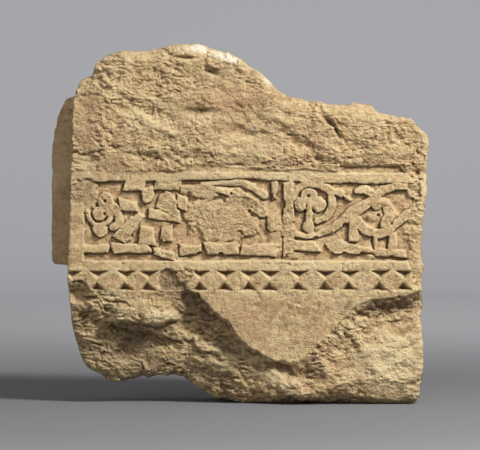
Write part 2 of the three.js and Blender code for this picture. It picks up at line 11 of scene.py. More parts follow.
import bpy
import numpy as np
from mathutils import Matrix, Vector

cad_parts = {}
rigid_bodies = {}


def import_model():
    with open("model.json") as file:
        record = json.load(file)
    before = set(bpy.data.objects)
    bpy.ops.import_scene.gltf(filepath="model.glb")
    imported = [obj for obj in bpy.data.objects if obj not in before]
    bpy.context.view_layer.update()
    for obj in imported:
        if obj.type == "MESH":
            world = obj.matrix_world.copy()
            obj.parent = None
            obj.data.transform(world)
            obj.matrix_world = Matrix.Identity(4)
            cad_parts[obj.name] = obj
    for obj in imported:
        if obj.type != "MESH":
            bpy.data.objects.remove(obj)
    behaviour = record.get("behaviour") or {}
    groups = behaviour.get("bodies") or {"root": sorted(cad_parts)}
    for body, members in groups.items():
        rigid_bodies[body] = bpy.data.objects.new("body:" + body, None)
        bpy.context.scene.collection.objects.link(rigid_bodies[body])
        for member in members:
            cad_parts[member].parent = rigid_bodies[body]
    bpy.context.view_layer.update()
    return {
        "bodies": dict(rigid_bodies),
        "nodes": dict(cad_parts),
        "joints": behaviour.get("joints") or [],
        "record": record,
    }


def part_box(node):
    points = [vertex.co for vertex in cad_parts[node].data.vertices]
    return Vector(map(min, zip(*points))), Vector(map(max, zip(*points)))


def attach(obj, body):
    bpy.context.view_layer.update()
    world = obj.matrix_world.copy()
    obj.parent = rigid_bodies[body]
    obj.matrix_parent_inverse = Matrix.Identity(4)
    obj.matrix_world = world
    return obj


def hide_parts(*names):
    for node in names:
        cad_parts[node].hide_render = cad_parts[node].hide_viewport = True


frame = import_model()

# %% [markdown]
# ## Sizes
# The frame gives the solid's box. The block's right side, its back and its bed are planes of that box,
# and the carved zones are measured from them: upwards from the bed, and leftwards from the right side.

# %% Sizes in millimetres
MM = 0.001
low, high = (np.array(corner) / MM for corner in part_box("frieze_block"))
FACE_WIDTH = 572.0
BLOCK_DEPTH = 170.0
RIGHT = high[0]
LEFT = RIGHT - FACE_WIDTH
FRONT = high[1] - BLOCK_DEPTH  # the plane that depths are measured from
ROW_BOTTOM = 180.0
ROW_TOP = ROW_BOTTOM + 33.0
BAND_BOTTOM = ROW_TOP + 14.0
BAND_HEIGHT = 128.0
BAND_TOP = BAND_BOTTOM + BAND_HEIGHT
STRIP_BOTTOM = BAND_TOP + 11.0
STRIP_TOP = STRIP_BOTTOM + 11.5
BROKEN_RISE = high[2] - STRIP_TOP
FACE_SETBACK = 6.0  # the tooled face behind the front-most stone
RELIEF_DEPTH = 8.0  # the band's ground behind the face
print("face", round(LEFT, 1), "to", round(RIGHT, 1), "broken rise", round(BROKEN_RISE, 1))

# %% [markdown]
# ## Noise
# Broken stone is rough at every size at once. The first tool is value noise: random numbers at the
# corners of a square lattice, blended smoothly in between. Layers of it, each half as large as the one
# before, give a surface with swells, lumps and grain. A sine of the corner's place stands in for a random
# number, so the stone is the same on each run.

# %% Smooth steps and noise
def ease(t):
    """3 t^2 - 2 t^3 between 0 and 1: a step with no corner at either end."""
    t = np.clip(t, 0, 1)
    return t * t * (3 - 2 * t)


def ramp(start, end, value):
    """0 before start, 1 after end, eased in between."""
    return ease((value - start) / (end - start))


def corner_value(i, j, seed):
    """A number from -1 to 1 for a lattice corner: the fraction of a large sine."""
    wave = np.sin(i * 127.1 + j * 311.7 + seed * 74.7) * 43758.5453
    return 2 * (wave - np.floor(wave)) - 1


def lattice(x, z, cell, seed):
    """Corner values blended with eased weights across each cell."""
    i, j = np.floor(x / cell), np.floor(z / cell)
    u, v = ease(x / cell - i), ease(z / cell - j)
    bottom = corner_value(i, j, seed) * (1 - u) + corner_value(i + 1, j, seed) * u
    top = corner_value(i, j + 1, seed) * (1 - u) + corner_value(i + 1, j + 1, seed) * u
    return bottom * (1 - v) + top * v


def layers(x, z, cell, count, seed):
    """Sum of lattices, each of half the cell and half the height of the one before."""
    total = 0
    for k in range(count):
        total = total + lattice(x + 17 * k, z - 9 * k, cell / 2**k, seed + 31 * k) / 2**k
    return total


def warp(x, z, reach, cell, seed):
    """Moves a place by two lattices, so that lines drawn there wander as a hand's or a break's do."""
    return x + reach * lattice(x, z, cell, seed), z + reach * lattice(x, z, cell, seed + 5)


print("noise at the middle of the face:", round(float(layers(np.float64(0), np.float64(300), 30, 4, 1)), 3))

# %% [markdown]
# ## Chips
# A blow takes a dish out of limestone, and where two dishes meet a sharp ridge is left. So broken stone
# is the lowest of many tilted bowls, one to a cell, with its centre and tilt at random. A break's surface
# is three sizes of them, flattened along the bedding, with fine ridges, small holes and a grain on top.
# The fine part grows and fades over the break, so that some stretches are calmer than others.

# %% Chipped stone
BOWL_SHIFT, BOWL_LIFT = 0.42, 0.35  # most that a bowl moves off its cell's middle, and up or down


def chips(x, z, cell, tilt, seed):
    """The least of dx^2 + dz^2 + a tilted plane + a lift, over the bowls of the nine nearest cells."""
    gx, gz = x / cell, z / cell
    i0, j0 = np.floor(gx), np.floor(gz)
    least = np.full(np.shape(gx), 9.0)
    for i in (i0 - 1, i0, i0 + 1):
        for j in (j0 - 1, j0, j0 + 1):
            dx = gx - i - 0.5 - BOWL_SHIFT * corner_value(i, j, seed)
            dz = gz - j - 0.5 - BOWL_SHIFT * corner_value(i, j, seed + 1)
            slope = tilt * (corner_value(i, j, seed + 2) * dx + corner_value(i, j, seed + 3) * dz)
            bowl = dx * dx + dz * dz + slope + BOWL_LIFT * corner_value(i, j, seed + 4)
            least = np.minimum(least, bowl)
    return least - 0.25


def ridges(x, z, cell, count, seed):
    """Layers of 1 - 2 |noise|: sharp ridges, where the noise is nought, between soft hollows."""
    total = 0
    for k in range(count):
        folded = np.abs(lattice(x + 13 * k, z + 7 * k, cell / 2**k, seed + 37 * k))
        total = total + (1 - 2 * folded) / 2**k
    return total


def broken_texture(x, z):
    """Coarse chips * a mild share + (fine chips - ridges + grain + holes) * a strong share."""
    wx, wz = warp(*warp(x, z, 6, 26, 41), 2, 7, 43)
    rough = 0.5 + 0.75 * ramp(-0.6, 0.6, layers(x, z, 58, 2, 47))
    holes = ramp(0.45, 0.95, lattice(wx, wz, 4.6, 85)) * ramp(-0.2, 0.6, lattice(x, z, 19, 86))
    coarse = 3.4 * chips(wx, wz * 1.2, 34, 1.0, 51) + 2.3 * chips(wx, wz * 1.25, 14, 0.9, 61)
    fine = 1.4 * chips(0.8 * wx + 0.3 * z, 1.5 * wz, 6, 0.8, 71)
    sharp = 1.1 * ridges(0.75 * wx, 1.5 * wz, 12, 3, 75)
    grain = 0.9 * layers(0.7 * x, 1.3 * z, 4.2, 2, 81)
    return coarse * (0.6 + 0.4 * rough) + (fine - sharp + grain + 2.4 * holes) * rough


def swells(x, z, seed):
    """The broad swells of a break: lattices of 62 and 27 mm, the wide one the stronger."""
    return 0.62 * lattice(x, z, 62, seed) + 0.38 * lattice(x, z, 27, seed + 1)


sample = broken_texture(*np.meshgrid(np.arange(-100, 100, 2.0), np.arange(400, 500, 2.0)))
print("broken texture runs from", round(sample.min(), 1), "to", round(sample.max(), 1), "mm")

# %% [markdown]
# ## Outline
# The outline follows the solid's: pairs of a place along the edge and a height or an inset there,
# joined by straight lines and then made ragged by a little noise. The raggedness fades out on the bed,
# the flat stretch that the block stands on.

# %% Outline of the face
# Top edge: share of the width from the left, share of the broken rise above the strip.
TOP_EDGE = [
    (0.037, 0.709), (0.068, 0.745), (0.078, 0.826), (0.103, 0.891), (0.133, 0.929), (0.186, 0.951),
    (0.232, 0.956), (0.282, 0.994), (0.331, 1.0), (0.359, 0.994), (0.442, 0.935), (0.487, 0.854),
    (0.537, 0.757), (0.611, 0.563), (0.691, 0.53), (0.748, 0.506), (0.806, 0.518), (0.842, 0.506),
    (0.85, 0.466), (0.891, 0.421), (0.953, 0.385), (0.972, 0.312), (1.0, 0.247),
]
# Bottom edge and the broken edge of the plain field: share of the width, share of the field's height.
BOTTOM_EDGE = [
    (0.037, 0.375), (0.052, 0.317), (0.084, 0.262), (0.112, 0.201), (0.147, 0.192), (0.172, 0.218),
    (0.227, 0.227), (0.285, 0.239), (0.319, 0.218), (0.339, 0.174), (0.367, 0.106),
    (0.4, 0.056), (0.44, 0.024), (0.49, 0.0), (0.957, 0.0), (1.0, 0.087),
]
FIELD_EDGE = [
    (0.004, 1.073), (0.092, 1.012), (0.257, 0.994), (0.326, 1.012), (0.38, 0.925), (0.408, 0.82),
    (0.444, 0.733), (0.477, 0.593), (0.509, 0.515), (0.545, 0.445), (0.6, 0.384), (0.641, 0.384),
    (0.669, 0.488), (0.71, 0.593), (0.737, 0.707), (0.765, 0.785), (0.806, 0.881), (0.847, 0.925),
    (0.902, 0.959), (0.957, 1.003), (0.984, 1.012),
]
# Left and right sides: share of the block's height, millimetres inward.
LEFT_SIDE = [
    (0.118, 21.4), (0.173, 12), (0.225, 5.1), (0.297, 2.1), (0.338, 0), (0.395, 0.7), (0.444, 1.6),
    (0.549, 4.6), (0.621, 4.6), (0.703, 8), (0.786, 8), (0.84, 10.4), (0.865, 14.3), (0.901, 21.4),
]
RIGHT_SIDE = [
    (0.027, 12.1), (0.071, 9.7), (0.143, 8.2), (0.195, 9), (0.241, 12.4), (0.28, 9), (0.327, 12.4),
    (0.379, 9), (0.442, 11.3), (0.486, 11.3), (0.533, 7.4), (0.591, 2.7), (0.648, 4.9), (0.717, 0),
    (0.745, 0.3),
]


def read(pairs, place):
    """Straight-line reading of (place, value) pairs."""
    places, values = np.array(pairs, float).T
    return np.interp(place, places, values)


def share(x):
    return (x - LEFT) / FACE_WIDTH


def top_edge(x):
    return STRIP_TOP + read(TOP_EDGE, share(x)) * BROKEN_RISE + 1.6 * layers(x, 0 * x, 14, 3, 201) - 1.5


def bottom_edge(x):
    smooth = read(BOTTOM_EDGE, share(x)) * ROW_BOTTOM
    return smooth + (2.4 * layers(x, 0 * x, 13, 3, 202) + 1) * ramp(0.5, 7, smooth)


def field_edge(x):
    return read(FIELD_EDGE, share(x)) * ROW_BOTTOM


def left_edge(z):
    return LEFT + read(LEFT_SIDE, z / high[2]) + 0.5 * (1 + layers(z, 0 * z, 12, 3, 203))


def right_edge(z):
    return RIGHT - read(RIGHT_SIDE, z / high[2]) - 1.1 * (1 + layers(z, 0 * z, 12, 3, 204))


hump = float(top_edge(np.float64(LEFT + 0.331 * FACE_WIDTH)))
print("top of the hump", round(hump, 1), "mm above the bed")

# %% [markdown]
# ## The carved band
# A carver draws on the flat face, then cuts the ground away round the drawing. The same is done here:
# each mark is a distance function, negative inside the mark and positive outside. The least of them all
# tells how far a place is from any mark, and the ground is lowered where that distance is positive.
# The marks are rows of plain strokes, then stems, rings and lobes of a leaf scroll.

# %% Layout of the band, in band heights right of its middle and up from its foot
BAND_MIDDLE = LEFT + 0.475 * FACE_WIDTH
PLAIN_STROKES = [
    ((-1.97, 0.14), (-1.97, 0.43), 0.1), ((-2.05, 0.155), (-1.6, 0.155), 0.11),
    ((-1.56, 0.155), (-1.1, 0.155), 0.11), ((-1.06, 0.12), (-0.8, 0.06), 0.09),
    ((-1.49, 0.26), (-1.22, 0.58), 0.15), ((-1.12, 0.59), (-0.74, 0.55), 0.13),
    ((-1.48, 0.7), (-1.26, 0.66), 0.12), ((-1.42, 0.93), (-1.16, 0.93), 0.12),
    ((-1.13, 0.9), (-1.13, 0.7), 0.12), ((-1.04, 0.93), (-0.72, 0.93), 0.11),
    ((-1.0, 0.74), (-0.82, 0.74), 0.14), ((-0.7, 0.8), (-0.7, 0.64), 0.11),
    ((-1.14, 0.2), (-1.14, 0.42), 0.17), ((-0.9, 0.42), (-0.9, 0.22), 0.13),
    ((-0.74, 0.15), (-0.46, 0.15), 0.13),
    ((-0.42, 0.15), (-0.02, 0.15), 0.14), ((0.02, 0.14), (0.46, 0.13), 0.14),
    ((0.6, 0.08), (0.6, 0.98), 0.12), ((0.43, 0.75), (0.43, 0.98), 0.06),
    ((0.4, 0.36), (0.4, 0.58), 0.12), ((0.6, 0.19), (0.97, 0.19), 0.13),
    ((1.08, 0.18), (1.26, 0.2), 0.06), ((1.15, 0.15), (2.05, 0.09), 0.09),
    ((1.4, 0.5), (1.4, 0.24), 0.11), ((1.66, 0.32), (1.66, 0.08), 0.05), ((1.88, 0.34), (1.88, 0.08), 0.1),
]
# Stems: runs of (right, up, width)
STEMS = [
    [(0.67, 0.34, 0.06), (0.82, 0.31, 0.06), (0.98, 0.33, 0.08), (1.14, 0.4, 0.1), (1.27, 0.49, 0.12),
     (1.38, 0.59, 0.14), (1.5, 0.66, 0.13), (1.64, 0.76, 0.11), (1.76, 0.87, 0.1), (1.92, 0.92, 0.09),
     (2.07, 0.92, 0.08), (2.18, 0.85, 0.07), (2.2, 0.72, 0.06)],
    [(1.38, 0.57, 0.12), (1.46, 0.46, 0.11), (1.55, 0.37, 0.1), (1.69, 0.33, 0.1), (1.82, 0.36, 0.1),
     (1.92, 0.45, 0.09), (2.03, 0.55, 0.1), (2.14, 0.65, 0.1)],
    [(1.68, 0.74, 0.12), (1.79, 0.69, 0.14), (1.84, 0.58, 0.15), (1.79, 0.44, 0.12)],
    [(1.05, 0.91, 0.1), (1.22, 0.84, 0.09), (1.35, 0.75, 0.03)],
    [(1.44, 0.87, 0.08), (1.54, 0.89, 0.1), (1.64, 0.82, 0.08)],
    [(-0.45, 0.94, 0.05), (-0.2, 0.965, 0.06), (0.0, 0.96, 0.075), (0.18, 0.9, 0.08), (0.31, 0.8, 0.09)],
    [(-0.48, 0.91, 0.06), (-0.3, 0.87, 0.1), (-0.12, 0.84, 0.12), (0.04, 0.79, 0.12), (0.18, 0.68, 0.13),
     (0.28, 0.59, 0.11)],
    [(-1.56, 0.42, 0.09), (-1.48, 0.46, 0.1), (-1.5, 0.62, 0.09)],
    [(0.853, 0.86, 0.075), (0.853, 0.5, 0.075)],
    [(-1.68, 0.7, 0.1), (-1.6, 0.6, 0.1)],
]
# Rings: centre, middle radius, width, start and end in degrees. Lobes: centre, radius.
RINGS = [((0.883, 0.709), 0.25, 0.088, -72, 165), ((-1.724, 0.592), 0.145, 0.05, -180, -15)]
LOBES = [
    ((0.85, 0.81), 0.093), ((0.752, 0.7), 0.088), ((0.972, 0.69), 0.094), ((0.856, 0.426), 0.075),
    ((0.86, 0.73), 0.07),
    ((-1.656, 0.746), 0.092), ((-1.724, 0.592), 0.085), ((-1.55, 0.635), 0.08), ((-1.724, 0.378), 0.092),
    ((1.7, 0.7), 0.085),
]
DRILLED = [
    ((0.85, 0.8), 0.02), ((0.813, 0.618), 0.02), ((0.92, 0.618), 0.02), ((-1.656, 0.74), 0.02),
    ((-1.66, 0.58), 0.018), ((-0.1, 0.83), 0.016), ((1.71, 0.565), 0.02),
]
print(len(PLAIN_STROKES), "strokes,", len(STEMS), "stems,", len(LOBES), "lobes")

# %% Distances to the marks
MOST_SLANT, MOST_TAPER = 0.5, 0.22  # slope of a stroke's ends, share that its width gains or loses


def band_place(place):
    return np.array([BAND_MIDDLE + place[0] * BAND_HEIGHT, BAND_BOTTOM + place[1] * BAND_HEIGHT])


def bar(x, z, start, end, width):
    """Distance to a hand-cut stroke: a box distance, with slanted ends and sides that taper."""
    (ax, az), (cx, cz) = band_place(start), band_place(end)
    length = np.hypot(cx - ax, cz - az)
    ux, uz = (cx - ax) / length, (cz - az) / length
    px, pz = x - (ax + cx) / 2, z - (az + cz) / 2
    lengthwise, sideways = px * ux + pz * uz, pz * ux - px * uz
    slant, taper = MOST_SLANT * corner_value(ax, az, 77), MOST_TAPER * corner_value(ax, az, 78)
    along = np.abs(lengthwise + slant * sideways) - length / 2
    half = width * BAND_HEIGHT / 2 * (1 + taper * np.clip(2 * lengthwise / length, -1, 1))
    across = np.abs(sideways) - half
    return np.minimum(np.maximum(along, across), 0) + np.hypot(np.maximum(along, 0), np.maximum(across, 0))


def stem(x, z, start, end):
    """Distance to a round-ended stroke whose width runs evenly from one end to the other."""
    (ax, az), (cx, cz) = band_place(start), band_place(end)
    dx, dz = cx - ax, cz - az
    t = np.clip(((x - ax) * dx + (z - az) * dz) / (dx * dx + dz * dz), 0, 1)
    half = 0.5 * BAND_HEIGHT * (start[2] + (end[2] - start[2]) * t)
    return np.hypot(x - ax - t * dx, z - az - t * dz) - half


def disc(x, z, centre, radius):
    """Distance to a round: the distance from its centre less its radius."""
    cx, cz = band_place(centre)
    return np.hypot(x - cx, z - cz) - radius * BAND_HEIGHT


def ring(x, z, centre, radius, width, start, end):
    """Distance to part of a hoop: the angle is held between its ends, then the nearest point is taken."""
    cx, cz = band_place(centre)
    middle, half = np.radians((start + end) / 2), np.radians((end - start) / 2)
    angle = (np.arctan2(z - cz, x - cx) - middle + np.pi) % (2 * np.pi) - np.pi
    near = np.clip(angle, -half, half) + middle
    reach = radius * BAND_HEIGHT
    gap = np.hypot(x - cx - reach * np.cos(near), z - cz - reach * np.sin(near))
    return gap - width * BAND_HEIGHT / 2


def mark_distance(x, z):
    """The least distance to any mark of the band."""
    gaps = [bar(x, z, *stroke) for stroke in PLAIN_STROKES]
    gaps += [stem(x, z, a, b) for run in STEMS for a, b in zip(run, run[1:])]
    gaps += [disc(x, z, *lobe) for lobe in LOBES]
    gaps += [ring(x, z, *hoop) for hoop in RINGS]
    return np.minimum.reduce(gaps)


gap_in_ring = float(mark_distance(*band_place((0.883, 0.6))))
print("distance at a place inside the ring:", round(gap_in_ring, 1), "mm")

# %% [markdown]
# ## Depth of the tooled face
# The face is flat but not dead flat: it has slow waves, pocks and worn patches. The band's ground is
# rougher than the face, since only a narrow chisel reaches it. The walls of the marks lean, crumble and
# are chipped, steep and grooved at the foot where they look to the lower left, and splayed where they look
# to the upper right. The upper fillet's lower edge wanders by a few millimetres.

# %% Tooled face and band ground
PANEL_LEFT, PANEL_RIGHT = LEFT + 26, RIGHT - 26
FILLET_WANDER = [(-250, -2.5), (-130, -2.5), (9, 2), (134, -5), (262, -5)]  # x, height over the level
WALL_PROBE = 1.2  # the way to the upper right at which a wall's direction is read
STEEP_WALL, SPLAYED_WALL = 0.8, 2.2  # how far out a steep wall ends, and how much further a splayed one


def tooled_face(x, z):
    """Setback + grain + slow waves + pocks where a grain or a shell fell out + worn patches."""
    pocks = 1.7 * ramp(0.4, 0.9, lattice(x, z, 3.6, 108)) * ramp(-0.2, 0.6, lattice(x, z, 24, 109))
    waves = 0.9 * lattice(x, z, 55, 112)
    patches = 0.8 * ramp(0.0, 0.5, lattice(x, z, 17, 113) + 0.4 * lattice(x, z, 6, 114))
    return FACE_SETBACK + 0.5 * layers(x, z, 6, 3, 111) + waves + pocks + patches


def panel_inset(x, z):
    """How far a place lies inside the panel: the least distance to its four sides."""
    ceiling = BAND_TOP + read(FILLET_WANDER, x)
    return np.minimum.reduce([z - BAND_BOTTOM, ceiling - z, x - PANEL_LEFT, PANEL_RIGHT - x])


def band_ground(x, z):
    """Cut share * (relief depth + groove + unevenness - what was left high) + drilled holes + wear."""
    wx, wz = warp(*warp(x, z, 1.1, 22, 91), 0.4, 5, 95)
    crumble = 0.4 * lattice(x, z, 8, 92) + 0.3 * lattice(x, z, 3.4, 93)
    chipped = 3.4 * ramp(0.42, 0.8, lattice(x, z, 15, 94))
    marks, frame = mark_distance(wx, wz), panel_inset(wx, wz)
    nearest = np.minimum(marks, frame)
    there = wx + WALL_PROBE, wz + WALL_PROBE
    up_right = np.minimum(mark_distance(*there), panel_inset(*there))
    undercut, splay = ramp(0.2, 1.3, nearest - up_right), ramp(0.2, 1.3, up_right - nearest)
    wall = STEEP_WALL + SPLAYED_WALL * splay
    off_marks, in_panel = marks + crumble + chipped, frame + crumble
    cut = ramp(-0.6, wall, off_marks) * ramp(-0.6, wall, in_panel)
    groove = (0.3 + 2.7 * undercut) * ramp(3.8, 1.0, np.minimum(off_marks, in_panel))
    left_high = 4.2 * ramp(0.0, 0.8, lattice(x, z, 30, 104) + 0.35 * lattice(x, z, 9, 96))
    unevenness = groove + 1.2 * layers(x, z, 9, 3, 101) - left_high
    drilled = np.maximum.reduce([7 * ramp(0.6, -0.9, disc(x, z, *hole)) for hole in DRILLED])
    worn = 2.4 * ramp(0.1, 0.9, lattice(x, z, 23, 107)) * ramp(0.4, 0, cut) * ramp(-9, 0, off_marks)
    return cut * (RELIEF_DEPTH + unevenness) + drilled + worn * ramp(0, 3, in_panel)


here = np.float64(0.0)
print("face", round(float(tooled_face(here, here + 240)), 1), "mm behind the front-most stone")

# %% [markdown]
# ## The lozenge row
# Between two fillets, the carver struck three-sided pits in pairs, point to point. What is left standing
# between them is a row of lozenges. Each pit is deepest at the edge away from its point.

# %% Lozenge pits
PIT_PLACES = (-263, -222, -178, -142, -102, -61, -21, 16, 49, 94, 136, 174, 222, 260)  # cut by eye
PIT_HALF = 16.4
PIT_DEPTH = 12.0
PIT_SLOPE, PIT_WALL = 2.0, 6.0  # slopes of the sides, in pit depths, and of the base's wall
ROW_MIDDLE = (ROW_BOTTOM + ROW_TOP) / 2
POINT_GAP = 1.5  # from the row's middle to a pit's point
LOWER_SHIFT, LOWER_SHARE = 2.5, 0.92  # the lower pits stand a little left and are a little narrower


def one_pit(x, z, centre, base, point, half):
    """A pyramid: (1 - way to the point - way to the side) * a slope, with a steep wall at its base."""
    inward = (z - base) * np.sign(point - base)
    inside = 1 - inward / abs(point - base) - np.abs(x - centre) / half
    return np.clip(np.minimum(inside * PIT_SLOPE * PIT_DEPTH, inward * PIT_WALL), 0, PIT_DEPTH)


def lozenge_pits(x, z):
    wx, wz = warp(x, z, 0.8, 9, 171)
    pits = []
    for centre in PIT_PLACES:
        pits.append(one_pit(wx, wz, centre, ROW_TOP - 0.8, ROW_MIDDLE + POINT_GAP, PIT_HALF))
        lower_centre, lower_half = centre - LOWER_SHIFT, LOWER_SHARE * PIT_HALF
        pits.append(one_pit(wx, wz, lower_centre, ROW_BOTTOM + 1, ROW_MIDDLE - POINT_GAP, lower_half))
    return np.maximum.reduce(pits)


print(2 * len(PIT_PLACES), "pits, up to", PIT_DEPTH, "mm deep")

# %% [markdown]
# ## Ovals and ledges
# Dents, scars and hollows are soft ovals: a share that is 0 at the centre and 1 on the rim, wherever the
# oval is and however it is turned. Where a flake broke off short, it left a ledge: the stone drops behind
# a sharp line and comes back slowly below it. A little warp keeps both from looking drawn.

# %% Ovals and ledges
def oval(x, z, centre_x, centre_z, half_x, half_z, turn):
    """Distance from an oval's centre as a share of its size: 1 on the rim."""
    c, s = np.cos(np.radians(turn)), np.sin(np.radians(turn))
    px, pz = x - centre_x, z - centre_z
    return np.hypot((px * c + pz * s) / half_x, (pz * c - px * s) / half_z)


# Runs of (x, z) from left to right, the width of the way back, and the drop
LEDGES = [
    ([(-208, 414), (-199, 412), (-184, 403)], 10, 5.5), ([(-219, 400), (-210, 389)], 8, 5),
    ([(-214, 429), (-195, 432)], 8, 3), ([(-167, 391), (-125, 389), (-101, 383), (-79, 371)], 12, 3.5),
    ([(-59, 378), (-48, 378), (-40, 373)], 8, 5), ([(-27, 383), (-7, 378), (16, 377)], 8, 3.5),
    ([(-137, 505), (-111, 505)], 10, 2.5), ([(-98, 550), (-78, 549)], 8, 4),
    ([(-54, 531), (-35, 523)], 11, 4), ([(123, 462), (137, 452), (150, 437)], 12, 4),
    ([(148, 438), (159, 427), (170, 413)], 9, 3.5), ([(230, 440), (238, 422)], 10, 4),
    ([(-266, 399), (-250, 396), (-232, 397)], 10, 4), ([(280, 402), (296, 389)], 9, 4),
    ([(37, 82), (56, 72), (76, 58), (98, 44)], 18, 7), ([(-78, 97), (-54, 105)], 10, 5),
    ([(-122, 118), (-119, 117), (-116, 117)], 6, 16), ([(-268, 184), (-246, 172), (-224, 166)], 16, 8),
    ([(-260, 138), (-235, 132), (-214, 133)], 12, 6), ([(-227, 83), (-203, 81), (-184, 83)], 14, 6),
    ([(-226, 137), (-188, 124), (-150, 117), (-118, 105), (-86, 88)], 28, 11),
    ([(-93, 100), (-72, 106), (-50, 104)], 10, 5), ([(-220, 165), (-196, 160), (-170, 163)], 12, 6),
    ([(-67, 24), (-46, 24)], 10, 4),
    ([(196, 132), (230, 128), (262, 140)], 14, 4), ([(-60, 158), (-36, 136), (-14, 118)], 10, 5),
]


def ledge_depth(x, z):
    """The deepest drop: a wall at the line, eased back to nothing below it, and fading at its ends."""
    wx, wz = warp(*warp(x, z, 5, 16, 181), 2.2, 6, 182)
    total = np.zeros(np.shape(x))
    for points, width, drop in LEDGES:
        near, side, along = np.full(np.shape(x), 99.0), np.zeros(np.shape(x)), np.zeros(np.shape(x))
        for k, ((ax, az), (cx, cz)) in enumerate(zip(points, points[1:])):
            dx, dz = cx - ax, cz - az
            t = np.clip(((wx - ax) * dx + (wz - az) * dz) / (dx * dx + dz * dz), 0, 1)
            gap = np.hypot(wx - ax - t * dx, wz - az - t * dz)
            closer = gap < near
            side = np.where(closer, np.sign((wx - ax) * dz - (wz - az) * dx), side)
            along = np.where(closer, (k + t) / (len(points) - 1), along)
            near = np.minimum(near, gap)
        fading = ramp(0, 0.22, along) * ramp(1, 0.78, along)
        total = np.maximum(total, drop * fading * ramp(-2.4, 1.0, near * side) * ramp(width, 0, near))
    return total * np.clip(0.6 + 0.6 * lattice(x, z, 12, 183), 0.1, 1)


print(len(LEDGES), "ledges")

# %% [markdown]
# ## The broken top
# Above the hollow strip the stone was broken off by blows. It leans back a little, swells and sinks,
# and has long shallow dents where flakes came away. Only at the right, and in part at the middle, does
# the hollow strip above the upper fillet survive.

# %% Broken top and hollow strip
# Dents, and negative ones that stand proud: centre x and z, half sizes, turn in degrees, depth
DENTS = [
    (-144, 465, 62, 13, -24, 6), (-62, 465, 30, 9, -5, 6), (-184, 468, 17, 9, -30, 3.5),
    (-43, 526, 13, 7, -25, 6.5), (144, 443, 32, 6, -50, 6), (120, 383, 38, 8, 4, 4),
    (-238, 386, 22, 15, 0, 4.5), (95, 413, 46, 10, -28, 5.5), (16, 425, 40, 12, -10, 5),
    (-141, 394, 50, 9, -6, 4), (244, 429, 26, 8, -40, 5), (-84, 546, 22, 6, -5, 4.5),
    (-219, 520, 20, 10, 20, 3.5), (189, 402, 22, 9, 10, 3.5),
    (-110, 430, 34, 7, -18, -3), (-190, 500, 36, 8, -28, -3),
    (62, 448, 30, 8, -24, -3), (210, 452, 26, 7, -12, -3), (-20, 400, 44, 6, -8, -2.5),
]
DENT_FACTOR = 1.15
STRIP_DEPTH = 5.6
STRIP_LEFT, STRIP_RIGHT = 156.0, 261.0  # the kept length
STRIP_RUN_OUT = 0.12  # how fast its left end deepens
PART_LEFT, PART_RIGHT = -74.0, 78.0  # the length that is only partly kept


def between(value, start, end, blur):
    return ramp(start - blur, start + blur, value) * ramp(end + blur, end - blur, value)


def strip_ceiling(x, z):
    """Height where the broken stone starts: the top of the kept strips, elsewhere a lower ragged line."""
    ragged = STRIP_BOTTOM + 2 + 2.5 * layers(x, z, 20, 2, 121)
    part = STRIP_TOP + 2.5 - 0.075 * (x - PART_LEFT)
    kept, partly = between(x, STRIP_LEFT, STRIP_RIGHT, 3), between(x, PART_LEFT, PART_RIGHT, 8)
    level = ragged + (part - ragged) * partly
    return level + (STRIP_TOP + 0.5 - level) * kept


def hollow_strip(x, z):
    """The strip's depth: a flat groove whose right end slants, and a soft, shallow one at the middle."""
    wx, wz = warp(x, z, 0.9, 9, 131)
    slanted_end = STRIP_RIGHT - 0.8 * (wz - STRIP_BOTTOM) - wx
    run_out = STRIP_RUN_OUT * (wx - STRIP_LEFT)
    kept = np.minimum.reduce([run_out, slanted_end, wz - STRIP_BOTTOM + 0.5, STRIP_TOP - wz])
    partly = np.minimum(wz - STRIP_BOTTOM, strip_ceiling(x, z) - wz)
    soft = 0.4 * ramp(-1.2, 2.4, partly) * between(x, PART_LEFT, PART_RIGHT, 9)
    return np.maximum(ramp(-0.8, 1.6, kept), soft) * (STRIP_DEPTH + 0.5 * layers(x, z, 9, 2, 132))


def broken_top(x, z, texture):
    """Lean + swells + dents + chips, behind the front-most plane."""
    wx, wz = warp(x, z, 4, 18, 141)
    above = z - strip_ceiling(x, z)
    dents = sum(depth * ramp(1.25, 0.1, oval(wx, wz, *place)) for *place, depth in DENTS)
    lean = 5 * ramp(40, 150, z - STRIP_TOP)
    rise = 7 * swells(x, z, 11) * ramp(0, 27, z - STRIP_TOP)
    lip = 2.3 * ramp(26, 0, above)
    return 4.5 + lean + rise + DENT_FACTOR * dents + lip + texture


print(len(DENTS), "dents")

# %% [markdown]
# ## The broken foot
# Below the plain field a great flake has gone, deepest at the left. Its form is profiles at stations
# across the face, as in the solid: how far back the stone lies at some levels between the bottom edge and
# the field's broken edge. One level and several depths are this script's own, and so are the shelves,
# hollows, striations, chips and ledges that go on top of that form.

# %% Broken foot
FOOT_LEVELS = (0, 0.25, 0.45, 0.59, 0.66, 0.75, 0.9, 1)
FOOT_STATIONS = [
    (0.025, (52, 42, 38, 32, 30, 24, 28, 12)), (0.095, (50, 44, 42, 34, 24, 16, 14, 9)),
    (0.177, (56, 48, 46, 34, 13, 10, 10, 7)), (0.26, (55, 47, 44, 32, 14, 10, 12, 8)),
    (0.345, (58, 47, 41, 38, 38, 36, 28, 12)), (0.413, (58, 46, 41, 39, 39, 38, 27, 10)),
    (0.495, (52, 40, 34, 30, 29, 27, 20, 9)), (0.577, (44, 26, 23, 24, 24, 22, 15, 8)),
    (0.642, (40, 18, 17, 20, 21, 20, 13, 7)), (0.716, (38, 14, 14, 13, 13, 12, 9, 7)),
    (0.77, (36, 13, 18, 20, 19, 17, 14, 8)), (0.838, (34, 11, 15, 20, 23, 26, 21, 9)),
    (0.918, (34, 12, 17, 22, 25, 29, 24, 9)), (1.0, (36, 12, 16, 20, 24, 26, 24, 10)),
]
